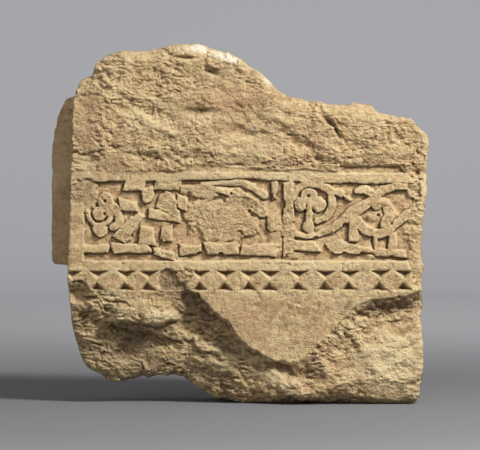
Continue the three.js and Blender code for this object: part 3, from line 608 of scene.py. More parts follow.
# Shelves (negative, standing proud) and hollows: centre, half sizes, turn, depth
FOOT_FORMS = [
    (-184, 146, 24, 18, 20, -6), (-128, 137, 34, 13, -4, -7), (-160, 92, 62, 26, -8, 9),
    (205, 148, 80, 17, 6, 9), (82, 28, 50, 14, -26, -8), (-236, 142, 22, 9, 8, 7),
    (-240, 104, 26, 12, -20, -5), (-205, 60, 34, 12, 4, -5), (-78, 126, 44, 20, -46, 8),
    (-40, 62, 46, 14, -22, -5), (30, 96, 30, 14, -30, 7), (240, 96, 40, 14, 12, -6),
    (168, 122, 26, 10, -24, -4), (256, 52, 26, 16, 0, 5), (120, 72, 26, 20, -50, -6),
    (200, 84, 16, 44, 26, -5), (-62, 96, 24, 9, -32, -8), (-92, 148, 15, 9, -40, -6),
    (-34, 82, 16, 7, -30, -6),
]
STRAND_CENTRE = (-88, 168)  # the striations of the left hollow run round this place
STRAND_DEPTH = 1.8


def strands(x, z):
    """Fine curved striations: noise of (distance from a centre, a slow angle), so that it runs in arcs."""
    away = np.hypot(x - STRAND_CENTRE[0], z - STRAND_CENTRE[1])
    angle = np.arctan2(z - STRAND_CENTRE[1], x - STRAND_CENTRE[0])
    inside = ramp(1.2, 0.5, oval(x, z, -155, 76, 90, 38, -8))
    return STRAND_DEPTH * layers(away, 45 * angle, 3.8, 2, 191) * np.clip(inside, 0, 1)


def foot_form(x, z):
    """Each station's profile read at the level, blended with eased weights from one station to the next."""
    low_edge, high_edge = bottom_edge(x), field_edge(x)
    level = np.clip((z - low_edge) / (high_edge - low_edge), 0, 1)
    places = np.array([place for place, _ in FOOT_STATIONS])
    profiles = np.array([depths for _, depths in FOOT_STATIONS], float)
    levels = np.array(FOOT_LEVELS)
    at = np.clip(share(x), places[0], places[-1])
    left = np.clip(np.searchsorted(places, at, side="right") - 1, 0, len(places) - 2)
    mix = ease((at - places[left]) / (places[left + 1] - places[left]))
    k = np.clip(np.searchsorted(levels, level, side="right") - 1, 0, len(levels) - 2)
    part = (level - levels[k]) / (levels[k + 1] - levels[k])
    near = profiles[left, k] * (1 - part) + profiles[left, k + 1] * part
    far = profiles[left + 1, k] * (1 - part) + profiles[left + 1, k + 1] * part
    return near * (1 - mix) + far * mix


def foot_depth(x, z, below, texture):
    """Form + shelves and hollows + chips, smaller at the field's edge and on two smoother breaks."""
    wx, wz = warp(x, z, 5, 20, 151)
    right_break = 0.6 * ramp(1.15, 0.6, oval(wx, wz, 238, 66, 66, 60, 0))
    left_break = 0.5 * ramp(1.2, 0.6, oval(wx, wz, -160, 72, 90, 36, -8))
    forms = sum(depth * ramp(1.2, 0.35, oval(wx, wz, *place)) for *place, depth in FOOT_FORMS)
    fade = ramp(0, 26, below)
    chipped = (0.8 + 0.5 * fade) * (1 - right_break - left_break)
    return foot_form(x, z) + (forms + strands(wx, wz)) * fade + texture * chipped


print(len(FOOT_STATIONS), "stations,", len(FOOT_FORMS), "shelves and hollows")

# %% [markdown]
# ## Scars, worn edges and the whole face
# Here the zones come together. The broken top and foot take over from the tooled face along ragged
# lines, scars lower it where it was knocked, and the outline's edges are worn round by a quarter circle.

# %% Whole face
# Centre x and z, half sizes, turn, depth behind the face, roughness
SCARS = [
    (-27, 295, 66, 36, -4, 4.5, 1.0), (-59, 336, 34, 12, -12, 3, 0.6), (-244, 336, 27, 19, 0, 4.5, 1.2),
    (-108, 192, 27, 22, -28, 8, 1.9), (-84, 204, 16, 16, -40, 5, 1.7), (76, 273, 11, 38, 4, 5, 1.0),
    (279, 268, 15, 92, 0, 7, 1.6), (158, 250, 22, 9, 0, 4, 0.9), (-250, 181, 26, 15, -26, 10, 1.4),
    (-112, 314, 16, 22, 0, 3.5, 0.9), (276, 336, 12, 16, 0, 5, 1.5),
]
LEFT_ROUND, RIGHT_ROUND, TOP_ROUND, FOOT_ROUND = 4.0, 14.0, 22.0, 15.0


def worn_edges(x, z):
    """Radius * (1 - sqrt(1 - t^2)) near each edge, where t is 1 on the edge and 0 a radius inside it."""
    def quarter(radius, inside):
        t = 1 - np.clip(inside / radius, 0, 1)
        return radius * (1 - np.sqrt(1 - t * t))
    wobble = 2.2 * layers(x, z, 26, 2, 161)
    return (
        quarter(LEFT_ROUND, x - left_edge(z))
        + quarter(RIGHT_ROUND, right_edge(z) - x + 0.6 * wobble)
        + quarter(TOP_ROUND + 8 * lattice(x, z, 70, 5), top_edge(x) - z + 0.7 * wobble)
        + quarter(FOOT_ROUND + 4 * lattice(x, z, 70, 6), z - bottom_edge(x) + 0.5 * wobble)
    )


def face_depth(x, z):
    """Depth of the stone behind the front-most plane, and how broken it is, 0 where it is tooled."""
    texture = broken_texture(x, z)
    depth = tooled_face(x, z) + band_ground(x, z) + lozenge_pits(x, z)
    broken = ramp(-1, 3, z - strip_ceiling(x, z))
    depth = (depth + hollow_strip(x, z)) * (1 - broken) + broken_top(x, z, texture) * broken
    ragged = 0.34 * lattice(x, z, 13, 142) + 0.16 * lattice(x, z, 5, 143)
    for *place, scar_depth, roughness in SCARS:
        scar = ramp(1.08, 0.78, oval(x, z, *place) + ragged)
        depth += (FACE_SETBACK + scar_depth + 0.62 * roughness * texture - depth) * scar
        broken = np.maximum(broken, scar)
    wx, wz = warp(*warp(x, z, 3.2, 18, 152), 2.1, 6, 153)
    below = field_edge(wx) - wz
    foot = ramp(-0.8, 0.8, below)
    depth += (np.maximum(foot_depth(wx, wz, below, texture), depth - 4) - depth) * foot
    broken = np.maximum(broken, foot)
    return depth + ledge_depth(x, z) * broken + worn_edges(x, z), broken


print("depth at the foot's middle:", round(float(face_depth(np.float64(0), np.float64(60))[0]), 1), "mm")

# %% [markdown]
# ## The grid of the face
# The height field is sampled on a grid whose sides, top and bottom lines bend with the outline. Most rows
# lie in the carved zone, where a grid step is about as wide as one pixel of the picture. Towards the top
# edge the rows crowd together, because the stone turns away there.

# %% Grid of the face
COLUMNS = 560
FOOT_ROWS, CARVED_ROWS, TOP_ROWS = 104, 190, 124
SIDE_REACH = 0.2  # share of the width over which the grid follows a side


def drawn_in(x, z):
    """Moves a place inward with the side that it is near to."""
    left_pull = ramp(SIDE_REACH, 0, share(x))
    right_pull = ramp(1 - SIDE_REACH, 1, share(x))
    return x + left_pull * (left_edge(z) - LEFT) + right_pull * (right_edge(z) - RIGHT)


def between_rows(start, end, count, crowding):
    """Rows from start to end, evenly spaced for a crowding of 1 and closer to the end above that."""
    t = 1 - (1 - np.arange(count)[:, None] / count) ** crowding
    return start + (end - start) * t


start_x = np.linspace(LEFT, RIGHT, COLUMNS + 1)
bottom, top = start_x * 0, start_x * 0
for _ in range(2):
    bottom, top = bottom_edge(drawn_in(start_x, bottom)), top_edge(drawn_in(start_x, top))
grid_z = np.vstack([
    bottom + (ROW_BOTTOM - bottom) * (np.arange(FOOT_ROWS)[:, None] / FOOT_ROWS) ** 1.15,
    between_rows(start_x * 0 + ROW_BOTTOM, start_x * 0 + STRIP_TOP, CARVED_ROWS, 1),
    between_rows(start_x * 0 + STRIP_TOP, top, TOP_ROWS, 1.22),
    top[None],
])
grid_x = drawn_in(np.broadcast_to(start_x, grid_z.shape), grid_z)
grid_depth, grid_broken = face_depth(grid_x, grid_z)
ROWS = len(grid_z) - 1
print("face grid", grid_z.shape, "depths", np.round([grid_depth.min(), grid_depth.max()], 1), "mm")

# %% [markdown]
# ## Sides, tongue and back
# The face's edge is a closed loop of points. It is carried back in rings to the back edge, and then
# inwards over the back to its middle. On the left, the ring steps out to the plain tongue once it is
# 62 mm behind the front, and the side there is dressed. The other sides are broken, so they draw in a
# little and carry chips. What moves a ring up or down fades out near the bed, which stays flat. The back's
# edge is knocked off unevenly, and the back is dressed with pecks.

# %% Loop round the face
rows, columns = np.arange(ROWS + 1), np.arange(COLUMNS + 1)
index = rows[:, None] * (COLUMNS + 1) + columns
loop = np.concatenate([index[0, :-1], index[:-1, -1], index[-1, :0:-1], index[:0:-1, 0]])
loop_x, loop_z, loop_depth = (grid.ravel()[loop] for grid in (grid_x, grid_z, grid_depth))
half_loop = slice(0, len(loop), 2)
ring_x, ring_z, ring_front = loop_x[half_loop], loop_z[half_loop], loop_depth[half_loop]
AVERAGED = 27  # ring points that the calmer outline at the back is averaged over


def calmed(values):
    """Running average round the closed ring, twice over."""
    kernel = np.ones(AVERAGED) / AVERAGED
    for _ in range(2):
        joined = np.concatenate([values[-AVERAGED:], values, values[:AVERAGED]])
        values = np.convolve(joined, kernel, "same")[AVERAGED:-AVERAGED]
    return values


calm_x, calm_z = calmed(ring_x), calmed(ring_z)
steps = np.hypot(np.diff(ring_x, append=ring_x[0]), np.diff(ring_z, append=ring_z[0]))
girth = np.cumsum(steps)
print("girth of the block", round(girth[-1]), "mm,", len(ring_x), "points a ring")

# %% Tongue's outline
TONGUE_REACH, TONGUE_SETBACK, TONGUE_CORNER = 28.5, 62.0, 9.0
TONGUE_BOTTOM, TONGUE_HEIGHT, TONGUE_CURVE = 220.0, 276.0, 0.42


def tongue_reach(z):
    """How far the tongue stands out: a round lower corner, a straight length, and a curve in at the top."""
    up = z - TONGUE_BOTTOM
    corner = np.clip((TONGUE_CORNER - up) / TONGUE_CORNER, 0, 1)
    straight = TONGUE_REACH - TONGUE_CORNER * (1 - np.sqrt(1 - corner**2))
    t = np.linspace(0, 1, 40)
    curve_up = (1 - t) ** 2 * (1 - TONGUE_CURVE) + 2 * t * (1 - t) * 0.9 + t**2
    curve_in = (1 - t) ** 2 + 2 * t * (1 - t) * 0.9
    curved = TONGUE_REACH * np.interp(up / TONGUE_HEIGHT, curve_up, curve_in)
    return np.where((up > 0) & (up < TONGUE_HEIGHT), np.minimum(straight, curved), 0)


print("tongue reach at its middle", tongue_reach(np.array([TONGUE_BOTTOM + TONGUE_HEIGHT / 2])), "mm")

# %% Rings along the sides
SIDE_STEPS = np.concatenate([
    np.linspace(0.02, 0.3, 8), (0.305, 0.31, 0.33, 0.35, 0.36), np.linspace(0.4, 0.97, 13),
])
BACK_CHAMFER = 7.0
SEAM_BLEND = 70.0  # length of girth over which the texture is faded into its own start
BED_FADE = 50.0  # height over which the rings' moves up and down set in
LEFT_RETURN = 0.35  # share by which the left side is moved back towards the face's own edge
TONGUE_FADE = (498, 486)  # heights between which the step out to the tongue ends
on_left = (ring_x < LEFT + 30) & (ring_z > 120)
on_bed = ring_z < 0.5
middle_z = high[2] / 2
toward = np.stack([-ring_x / RIGHT, -(ring_z - middle_z) / middle_z])
toward /= np.hypot(*toward)


def side_texture(depth):
    """Broken texture over (girth, depth), blended with its own start near the seam so that it closes."""
    blend = ramp(girth[-1] - SEAM_BLEND, girth[-1], girth)
    return broken_texture(girth, depth) * (1 - blend) + broken_texture(girth - girth[-1], depth) * blend


def ring_at(step):
    """A ring's points (x, depth, z) at a share of the way back, with the step out at 0.31 to 0.36."""
    knee = np.maximum(TONGUE_SETBACK, ring_front + 8)
    depth = np.interp(step, (0, 0.3, 0.36, 1), (0, 0.98, 1, 2))
    to_knee, to_back = ring_front + (knee - ring_front) * depth, knee + (BLOCK_DEPTH - knee) * (depth - 1)
    depth = np.where(depth < 1, to_knee, to_back)
    dressed = 1.2 + 1.2 * layers(girth, depth, 11, 3, 221) + 1.1 * chips(girth, depth, 13, 0.8, 225)
    bowed = 8 * (0.5 + 0.5 * lattice(girth, depth, 55, 8)) * np.sin(np.pi * step)
    broken = 3.5 + bowed + 1.25 * side_texture(depth)
    fade = ramp(0, 0.06, step)
    inset = np.where(on_left, dressed, broken) * fade
    calm = 0.85 * ramp(0.02, 0.4, step)
    x = ring_x + (calm_x - ring_x) * calm + toward[0] * inset
    z = ring_z + ((calm_z - ring_z) * calm + toward[1] * inset) * ramp(0, BED_FADE, ring_z)
    reach = tongue_reach(ring_z)
    outward = (ring_x - (LEFT - reach)) * (reach > 0) * ramp(*TONGUE_FADE, ring_z)
    x = np.where(on_left, x + (ring_x - x) * LEFT_RETURN, x) - outward * ramp(0.305, 0.355, step) * on_left
    z = np.where(on_bed, 0, np.maximum(z, 0))
    return np.stack([x, depth, z]), np.where(on_left, dressed, broken)


rings, ring_relief = zip(*(ring_at(step) for step in SIDE_STEPS))
print(len(rings), "rings, the last", round(float(rings[-1][1].min()), 1), "mm behind the front")

# %% Back, as rings that shrink to its middle
BACK_STEPS = np.concatenate([(0, 0.012, 0.025), np.linspace(0.045, 0.97, 34)])
BACK_MIDDLE = np.array([6.0, 278.0])
DEEPEST_PECK = 9.0
knocked = layers(girth, girth * 0, 30, 3, 233) + 0.9 * ramp(0.1, 0.6, lattice(girth, girth * 0, 19, 237))
chamfer = BACK_CHAMFER * (1 + 0.9 * knocked * ramp(0, 60, girth[-1] - girth))
back_edge = rings[-1] + np.stack([toward[0] * chamfer, toward[0] * 0, toward[1] * chamfer])
AROUND_PECK = 7.0  # millimetres to the places that a peck is compared with


def back_dressing(x, z):
    """Slow swells + two sizes of pecks, in millimetres under the back plane."""
    pecks = 2.8 * chips(x + 0.4 * z, 0.8 * z, 26, 0.9, 234) + 1.4 * chips(x, z, 13, 0.8, 236)
    return 3.2 + 1.8 * layers(x, z, 46, 3, 231) + pecks


back_rings, back_hollow = [], []
for step in BACK_STEPS:
    x = back_edge[0] + (BACK_MIDDLE[0] - back_edge[0]) * step
    z = np.maximum(back_edge[2] + (BACK_MIDDLE[1] - back_edge[2]) * step, 3)
    dressing = back_dressing(x, z)
    beside = back_dressing(x + AROUND_PECK, z) + back_dressing(x - AROUND_PECK, z)
    above_below = back_dressing(x, z + AROUND_PECK) + back_dressing(x, z - AROUND_PECK)
    back_rings.append(np.stack([x, BLOCK_DEPTH - np.clip(dressing, 0, DEEPEST_PECK), z]))
    back_hollow.append(0.9 * np.clip((dressing - (beside + above_below) / 4) / 1.6, -1, 1))
print(len(back_rings), "rings over the back")

# %% [markdown]
# ## One closed mesh
# The face's quads and the rings' quads are cut into triangles. The first ring has half as many points as
# the face's edge, so three triangles join each pair of edge steps. The fan over the back's middle closes
# the mesh. A Decimate modifier then thins it to under 200,000 triangles, keeping them where the stone
# bends. Tooled stone is shaded smooth. Broken stone keeps its facets, as a fresh break does.

# %% Points and triangles
ring_size = len(ring_x)
face_points = np.stack([grid_x.ravel(), grid_depth.ravel(), grid_z.ravel()], axis=1)
all_rings = list(rings) + back_rings
pole = np.array([[BACK_MIDDLE[0], BLOCK_DEPTH - 0.9, BACK_MIDDLE[1]]])
points = np.vstack([face_points] + [ring.T for ring in all_rings] + [pole])

a, b, d, e = index[:-1, :-1], index[:-1, 1:], index[1:, 1:], index[1:, :-1]
odd = ((rows[:-1, None] + columns[:-1]) % 2).astype(bool)
first = np.where(odd[..., None], np.stack([a, b, d], -1), np.stack([a, b, e], -1))
second = np.where(odd[..., None], np.stack([a, d, e], -1), np.stack([b, d, e], -1))
triangles = [first.reshape(-1, 3), second.reshape(-1, 3)]

place = np.arange(ring_size)
after = (place + 1) % ring_size
ring_start = [len(face_points) + n * ring_size for n in range(len(all_rings))]
edge0, edge1, edge2 = loop[0::2], loop[1::2], np.roll(loop[0::2], -1)
first_ring, first_after = ring_start[0] + place, ring_start[0] + after
triangles += [
    np.stack([edge0, first_ring, edge1], 1),
    np.stack([edge1, first_ring, first_after], 1),
    np.stack([edge1, first_after, edge2], 1),
]
for near, far in zip(ring_start, ring_start[1:]):
    triangles += [
        np.stack([near + place, far + place, near + after], 1),
        np.stack([near + after, far + place, far + after], 1),
    ]
last = ring_start[-1]
triangles.append(np.stack([last + place, np.full(ring_size, len(points) - 1), last + after], 1))
triangles = np.vstack(triangles)
corners = points[triangles]
volume = np.einsum("ij,ij->i", corners[:, 0], np.cross(corners[:, 1], corners[:, 2])).sum() / 6
print(len(triangles), "triangles; volume, positive when faces point out:", round(volume * 1e-9, 4), "m3")

# %% [markdown]
# ## Marks that the stone's colour follows
# Where a place lies deeper than its neighbourhood, dirt gathers and shade falls, and edges that stand out
# are rubbed pale and catch the light: the colour paints the dirt and wear, and also painted shade and
# light.
# The hollowness of a place is its depth less the average depth around it. Slopes that look to the upper
# right, towards the key light, lose hollowness, a painted highlight, and slopes that look away gain it, a
# painted shade. Hollowness is kept as an attribute on the points, beside another that tells how broken the
# stone is, so that both stay on the stone through decimation and any view.

# %% Hollowness
BACK_ROUGHNESS = 0.45  # between the tooled face and the broken sides
LIT_SLOPE_DROP = 6.0  # millimetres that a slope painted fully lit falls over two grid steps
PAINTED_LIGHT_ON_SLOPES, PAINTED_SHADE_ON_SLOPES = 0.75, 0.35  # how much a slope that faces the light takes from its hollowness, a painted highlight, or one that faces away adds to it, a painted shade
LEFT_DRESSED = 0.65  # how much less broken the left side is than the other sides


def blurred(field, radius):
    """Average over a square of 2 radius + 1 steps, by differences of running sums."""
    padded = np.pad(field, radius, mode="edge")
    sums = np.pad(padded.cumsum(0).cumsum(1), ((1, 0), (1, 0)))
    width = 2 * radius + 1
    strips = sums[width:] - sums[:-width]
    return (strips[:, width:] - strips[:, :-width]) / width**2


def hollowness(field, radius, reach):
    """-1 on a sharp ridge to 1 in a sharp hollow."""
    return np.clip((field - blurred(field, radius)) / reach, -1, 1)


# hollowness: dirt and painted shade in hollows, wear and painted highlight on ridges
face_hollow = 0.65 * hollowness(grid_depth, 2, 1.5) + 0.35 * hollowness(grid_depth, 6, 5.0)
slope = np.zeros(grid_depth.shape)
slope[1:-1, 1:-1] = np.clip((grid_depth[2:, 2:] - grid_depth[:-2, :-2]) / LIT_SLOPE_DROP, -1, 1)
# painted light and shade: slopes towards the upper-right key light are drawn paler, slopes away from it
# darker
face_hollow -= PAINTED_LIGHT_ON_SLOPES * np.maximum(slope, 0) + PAINTED_SHADE_ON_SLOPES * np.minimum(slope, 0)
side_hollow = 0.65 * hollowness(np.array(ring_relief), 3, 2.4)
back_hollow = np.array(back_hollow)
point_hollow = np.concatenate([face_hollow.ravel(), side_hollow.ravel(), back_hollow.ravel(), [0]])
side_broken = np.tile(1.0 - LEFT_DRESSED * on_left, len(rings))
back_broken = np.full(back_hollow.size + 1, BACK_ROUGHNESS)
point_broken = np.concatenate([grid_broken.ravel(), side_broken, back_broken])
print("hollowness", round(point_hollow.min(), 2), "to", round(point_hollow.max(), 2))

# %% Mesh with its attribute, thinned
TRIANGLE_BUDGET = 192000


def mesh_from(name, points_mm, faces):
    """A triangle mesh in metres, from points (x, depth behind the front plane, z) in millimetres."""
    mesh = bpy.data.meshes.new(name)
    mesh.vertices.add(len(points_mm))
    mesh.vertices.foreach_set("co", ((points_mm + (0, FRONT, 0)) * MM).astype(np.float32).ravel())
    mesh.loops.add(faces.size)
    mesh.loops.foreach_set("vertex_index", faces.astype(np.int32).ravel())
    mesh.polygons.add(len(faces))
    mesh.polygons.foreach_set("loop_start", np.arange(0, faces.size, 3, dtype=np.int32))
    mesh.update(calc_edges=True)
    return mesh


def add_values(mesh, name, values):
    mesh.attributes.new(name, "FLOAT", "POINT").data.foreach_set("value", values.astype(np.float32))


full_mesh = mesh_from("stone_full", points, triangles)
add_values(full_mesh, "hollow", point_hollow)
add_values(full_mesh, "broken", point_broken)
stone = bpy.data.objects.new("frieze_stone", full_mesh)
bpy.context.scene.collection.objects.link(stone)
thin = stone.modifiers.new("Thin", "DECIMATE")
thin.ratio = TRIANGLE_BUDGET / len(triangles)
thin.use_collapse_triangulate = True
thinned = bpy.data.meshes.new_from_object(stone.evaluated_get(bpy.context.evaluated_depsgraph_get()))
stone.modifiers.clear()
stone.data = thinned
thinned.name = "frieze_stone"
bpy.data.meshes.remove(full_mesh)
vertex_broken = np.empty(len(thinned.vertices), np.float32)
thinned.attributes["broken"].data.foreach_get("value", vertex_broken)
corner_index = np.empty(len(thinned.loops), np.int32)
thinned.loops.foreach_get("vertex_index", corner_index)
tooled = vertex_broken[corner_index].reshape(-1, 3).mean(1) < 0.5
thinned.polygons.foreach_set("use_smooth", tooled)
print("stone has", len(thinned.polygons), "triangles; attributes", [a.name for a in thinned.attributes])

# %% [markdown]
# ## Stains, painted shade and painted light
# The stone isn't one colour. The top edge has a whitish patch, pinkish patches lie along the left edge, on
# the broken top and in the plain field, the lower left is brown with old dirt and painted shade, and the
# lower right is paler, partly with painted light. Each stain is an oval with a ragged rim, and the ovals of
# a colour add up to one attribute. Some brown ovals paint the shade on slopes that face away from the light
# and under edges, and some pale ovals paint light on the shelf, the tongue and the lower right. How far a
# stain reaches back from the face depends on its colour. The striations of the left hollow carry pale and
# brown streaks, and the band's ground is pinkish.

# %% Stain attributes, with painted shade and light
# Centre x and z, half sizes, turn, amount
STAIN_AND_LIGHT_OVALS = {
    "white": [(-66, 560, 32, 13, -6, 1.6), (-26, 554, 42, 13, -22, 1.8), (20, 533, 28, 5, -41, 0.7),
              (52, 505, 20, 4, -42, 0.5)],
    # pale: paler stone, and painted light: (-128, 145) lights the lower left's shelf, (-293, 350) lifts the
    # tongue out of the block's shadow, and (240, 66) partly lights the lower right
    "pale": [(-128, 145, 36, 19, -10, 1.3), (-180, 140, 26, 8, -15, 0.8), (-202, 174, 22, 7, 0, 0.9),
             (240, 66, 70, 60, 0, 1.0), (64, 34, 34, 22, -26, 0.7), (-293, 350, 13, 170, 0, 0.9),
             (-117, 449, 56, 48, 0, 0.3), (24, 402, 74, 20, -10, 0.3), (150, 222, 150, 10, 0, 0.3),
             (270, 20, 34, 20, 0, 0.4), (20, 221, 260, 8, 0, 0.35), (20, 362, 270, 8, 0, 0.4)],
    "pink": [(4, 138, 46, 44, 0, 0.6), (-150, 250, 90, 30, 0, 0.35), (-60, 200, 70, 16, 0, 0.3),
             (-236, 430, 34, 62, 0, 0.8), (-20, 482, 74, 34, -10, 0.7), (-140, 380, 92, 10, 0, 0.7),
             (130, 62, 40, 44, -30, 0.5), (-292, 360, 16, 170, 0, 1.3), (-250, 155, 24, 34, 0, 0.7),
             (130, 400, 60, 26, 0, 0.4)],
    # brown: old dirt, and painted shade: (215, 158) is the shadow under the field's right edge, (160, 2)
    # the shade on the underside along the bottom, (-76, 166) the shaded slope under the field's left edge,
    # and the lower left's ovals darken slopes that face away from the light
    "brown": [(-178, 94, 92, 20, 0, 1.3), (-196, 156, 26, 8, -8, 0.8), (-170, 56, 86, 28, 0, 1.2),
              (-196, 86, 84, 52, 0, 0.9), (-254, 112, 22, 44, 0, 0.7),
              (-46, 56, 76, 48, -25, 0.75), (-76, 166, 40, 26, -46, 0.8), (-26, 106, 64, 22, -44, 0.6),
              (-246, 336, 34, 24, 0, 0.5), (215, 158, 92, 14, 6, 0.9), (-108, 192, 28, 24, -20, 0.9),
              (160, 2, 140, 11, 0, 1.0), (-20, 520, 50, 12, -18, 0.35), (-244, 440, 24, 50, 0, 0.3),
              (110, 60, 30, 26, -50, 0.4)],
}
# How far behind the face a stain reaches, and how ragged its rim is
STAIN_NATURE = {"white": (22.0, 1.9), "pale": (60.0, 1.2), "pink": (110.0, 1.0), "brown": (90.0, 1.2)}
co = np.empty(len(thinned.vertices) * 3, np.float32)
thinned.vertices.foreach_get("co", co)
px, py, pz = co.reshape(-1, 3).T.astype(float) / MM
behind = py - FRONT
px, pz = px + 14 * lattice(behind, pz, 34, 242) * ramp(8, 40, behind), pz + 5 * lattice(px, behind, 20, 243)
rim = 0.3 * layers(px, pz, 24, 4, 241)
streaks = strands(px, pz) / STRAND_DEPTH
carved_ground = ramp(FACE_SETBACK + 2, FACE_SETBACK + 7, behind) * between(pz, BAND_BOTTOM, BAND_TOP, 2)
besides_ovals = {
    "white": 0.0,
    "pale": 0.5 * np.maximum(0, streaks),
    "pink": 0.45 * carved_ground,
    "brown": 0.5 * np.maximum(0, -streaks),
}
for name, ovals in STAIN_AND_LIGHT_OVALS.items():
    reach, ragged = STAIN_NATURE[name]
    spots = [strength * ramp(1.15, 0.35, oval(px, pz, *spot) + ragged * rim) for *spot, strength in ovals]
    amount = sum(spots) + besides_ovals[name]
    reach = reach * (1 + 0.6 * lattice(px, pz, 16, 244))
    amount = np.clip(amount, 0, 1) * ramp(1.5 * reach, 0.5 * reach, behind)
    add_values(thinned, name, amount)
    print(name, "mean", round(float(amount.mean()), 3))

# %% [markdown]
# ## Helpers for materials
# A node group is a recipe that can be placed in any material. Its inputs are named for what a mason would
# change. These helpers keep the recipes short: they make a node and set its sockets, start a group or a
# material, mix colours, read a value on a new scale, and give a cloud of noise.

# %% Node helpers
def fill(tree, socket, value):
    """Joins a socket to another one, or sets its value."""
    if isinstance(value, bpy.types.NodeSocket):
        tree.links.new(value, socket)
    else:
        socket.default_value = value


def node(tree, kind, links=None, **settings):
    """Adds a node, sets its properties, and joins or fills its inputs by name or number."""
    made = tree.nodes.new(kind)
    for key, value in settings.items():
        setattr(made, key, value)
    for key, value in (links or {}).items():
        fill(tree, made.inputs[key], value)
    return made


def new_group(name, amounts, masks):
    """A node group that takes a place and named amounts and gives masks, with its inner sockets."""
    group = bpy.data.node_groups.new(name, "ShaderNodeTree")
    group.interface.new_socket("Vector", in_out="INPUT", socket_type="NodeSocketVector")
    for label, usual in amounts.items():
        socket = group.interface.new_socket(label, in_out="INPUT", socket_type="NodeSocketFloat")
        socket.default_value = usual
    for label in masks:
        group.interface.new_socket(label, in_out="OUTPUT", socket_type="NodeSocketFloat")
    given, result = group.nodes.new("NodeGroupInput"), group.nodes.new("NodeGroupOutput")
    return group, given.outputs, result.inputs


def mix_colours(tree, amount, first_colour, second_colour):
    mixed = node(tree, "ShaderNodeMix", {0: amount, 6: first_colour, 7: second_colour}, data_type="RGBA")
    return mixed.outputs[2]


def math_node(tree, operation, first_value, second_value, clamp=False):
    links = {0: first_value, 1: second_value}
    return node(tree, "ShaderNodeMath", links, operation=operation, use_clamp=clamp).outputs[0]


def remap(tree, value, start, end, to_start=0.0, to_end=1.0):
    """A value read so that start gives to_start and end gives to_end, and held between them."""
    links = {"Value": value, "From Min": start, "From Max": end, "To Min": to_start, "To Max": to_end}
    return node(tree, "ShaderNodeMapRange", links, clamp=True).outputs[0]


def cloud_noise(tree, vector, scale, detail, roughness, distortion=0.0):
    """Noise about 0.5, from its scale per metre and the number and strength of its finer layers."""
    links = {"Vector": vector, "Scale": scale, "Detail": detail, "Roughness": roughness}
    return node(tree, "ShaderNodeTexNoise", links | {"Distortion": distortion}).outputs["Fac"]


def matt_material(name, roughness):
    """A material, its node tree and its shader, whose roughness is one plain number."""
    material = bpy.data.materials.new(name)
    material.use_nodes = True
    shader = material.node_tree.nodes["Principled BSDF"]
    shader.inputs["Roughness"].default_value = roughness
    return material, material.node_tree, shader


print("node helpers ready")

# %% [markdown]
# ## Sandy grain
# Limestone of this kind is made of sand-sized grains with small holes between them. The grain group puts
# out a mottle for the colour and a height for the bump: fine noise, less the cells of a Voronoi pattern
# where a grain has fallen out.

# %% Sandy grain group
def sandy_grain_group():
    amounts = {"Grain size": 0.0012, "Pit share": 0.35}
    group, given, result = new_group("sandy grain", amounts, ["Mottle", "Height"])
    vector = given["Vector"]
    per_metre = math_node(group, "DIVIDE", 1.0, given["Grain size"])
    fine = cloud_noise(group, vector, per_metre, 3.0, 0.65)
    patch = cloud_noise(group, vector, math_node(group, "MULTIPLY", per_metre, 0.16), 5.0, 0.7)
    pit_scale = math_node(group, "MULTIPLY", per_metre, 0.42)
    cells = node(group, "ShaderNodeTexVoronoi", {"Vector": vector, "Scale": pit_scale})
    pit = remap(group, cells.outputs["Distance"], 0.0, given["Pit share"], 1.0, 0.0)
    pits = math_node(group, "MULTIPLY", pit, remap(group, patch, 0.5, 0.62))
    speckle = math_node(group, "MULTIPLY", math_node(group, "SUBTRACT", fine, 0.5), 0.5)
    clouded = math_node(group, "ADD", patch, speckle)
    mottle = math_node(group, "SUBTRACT", clouded, math_node(group, "MULTIPLY", pits, 0.4))
    height = math_node(group, "SUBTRACT", fine, pits)
    group.links.new(mottle, result["Mottle"])
    group.links.new(height, result["Height"])
    return group


sandy_grain = sandy_grain_group()
print("group", sandy_grain.name, "has", len(sandy_grain.nodes), "nodes")

# %% [markdown]
# ## Bedding and patina
# Sand settles in beds, so the colour runs in faint level streaks. Over everything lies the patina: dirt
# in the hollows and pale rubbed edges, together with painted shade in the hollows and painted light on
# ridges and on slopes that face the key light. The patina group takes the hollowness attribute and gives
# two masks, broken up by noise so that neither looks painted on.

# %% Bedding and patina groups, with painted light and shade
def bedding_group():
    group, given, result = new_group("bedding", {"Beds a metre": 60.0}, ["Streaks"])
    flat = node(group, "ShaderNodeMapping", {"Vector": given["Vector"], "Scale": (0.12, 0.12, 1.0)})
    streaks = cloud_noise(group, flat.outputs[0], given["Beds a metre"], 4.0, 0.6, 0.4)
    group.links.new(streaks, result["Streaks"])
    return group


def patina_and_light_group():
    group, given, result = new_group("patina_and_light", {"Hollow": 0.0}, ["Dirt", "Rubbed and lit"])
    cloud = cloud_noise(group, given["Vector"], 45.0, 6.0, 0.7)
    centred = math_node(group, "SUBTRACT", cloud, 0.5)
    shifted = math_node(group, "ADD", given["Hollow"], centred)
    # dirt in hollows, and painted shade in creases and on slopes that face away from the light
    group.links.new(remap(group, shifted, 0.16, 0.8), result["Dirt"])
    # pale rubbed edges, and painted highlight on ridges and on slopes that face the light
    group.links.new(remap(group, shifted, -0.1, -0.7), result["Rubbed and lit"])
    return group


bedding, patina_and_light = bedding_group(), patina_and_light_group()
print("groups", bedding.name, "and", patina_and_light.name)

# %% [markdown]
# ## Tool lines and blotches
# Faint level tool lines are a sine of the height, whose phase wanders with a slow noise, kept only in
# patches. Their spacing, 3.4 mm, is a guess at a toothed chisel's. Blotches are broad clouds where the
# stone weathered darker or paler.

# %% Tool lines and blotches groups
LINES_A_METRE, BLOTCHES_A_METRE = 294.0, 14.0


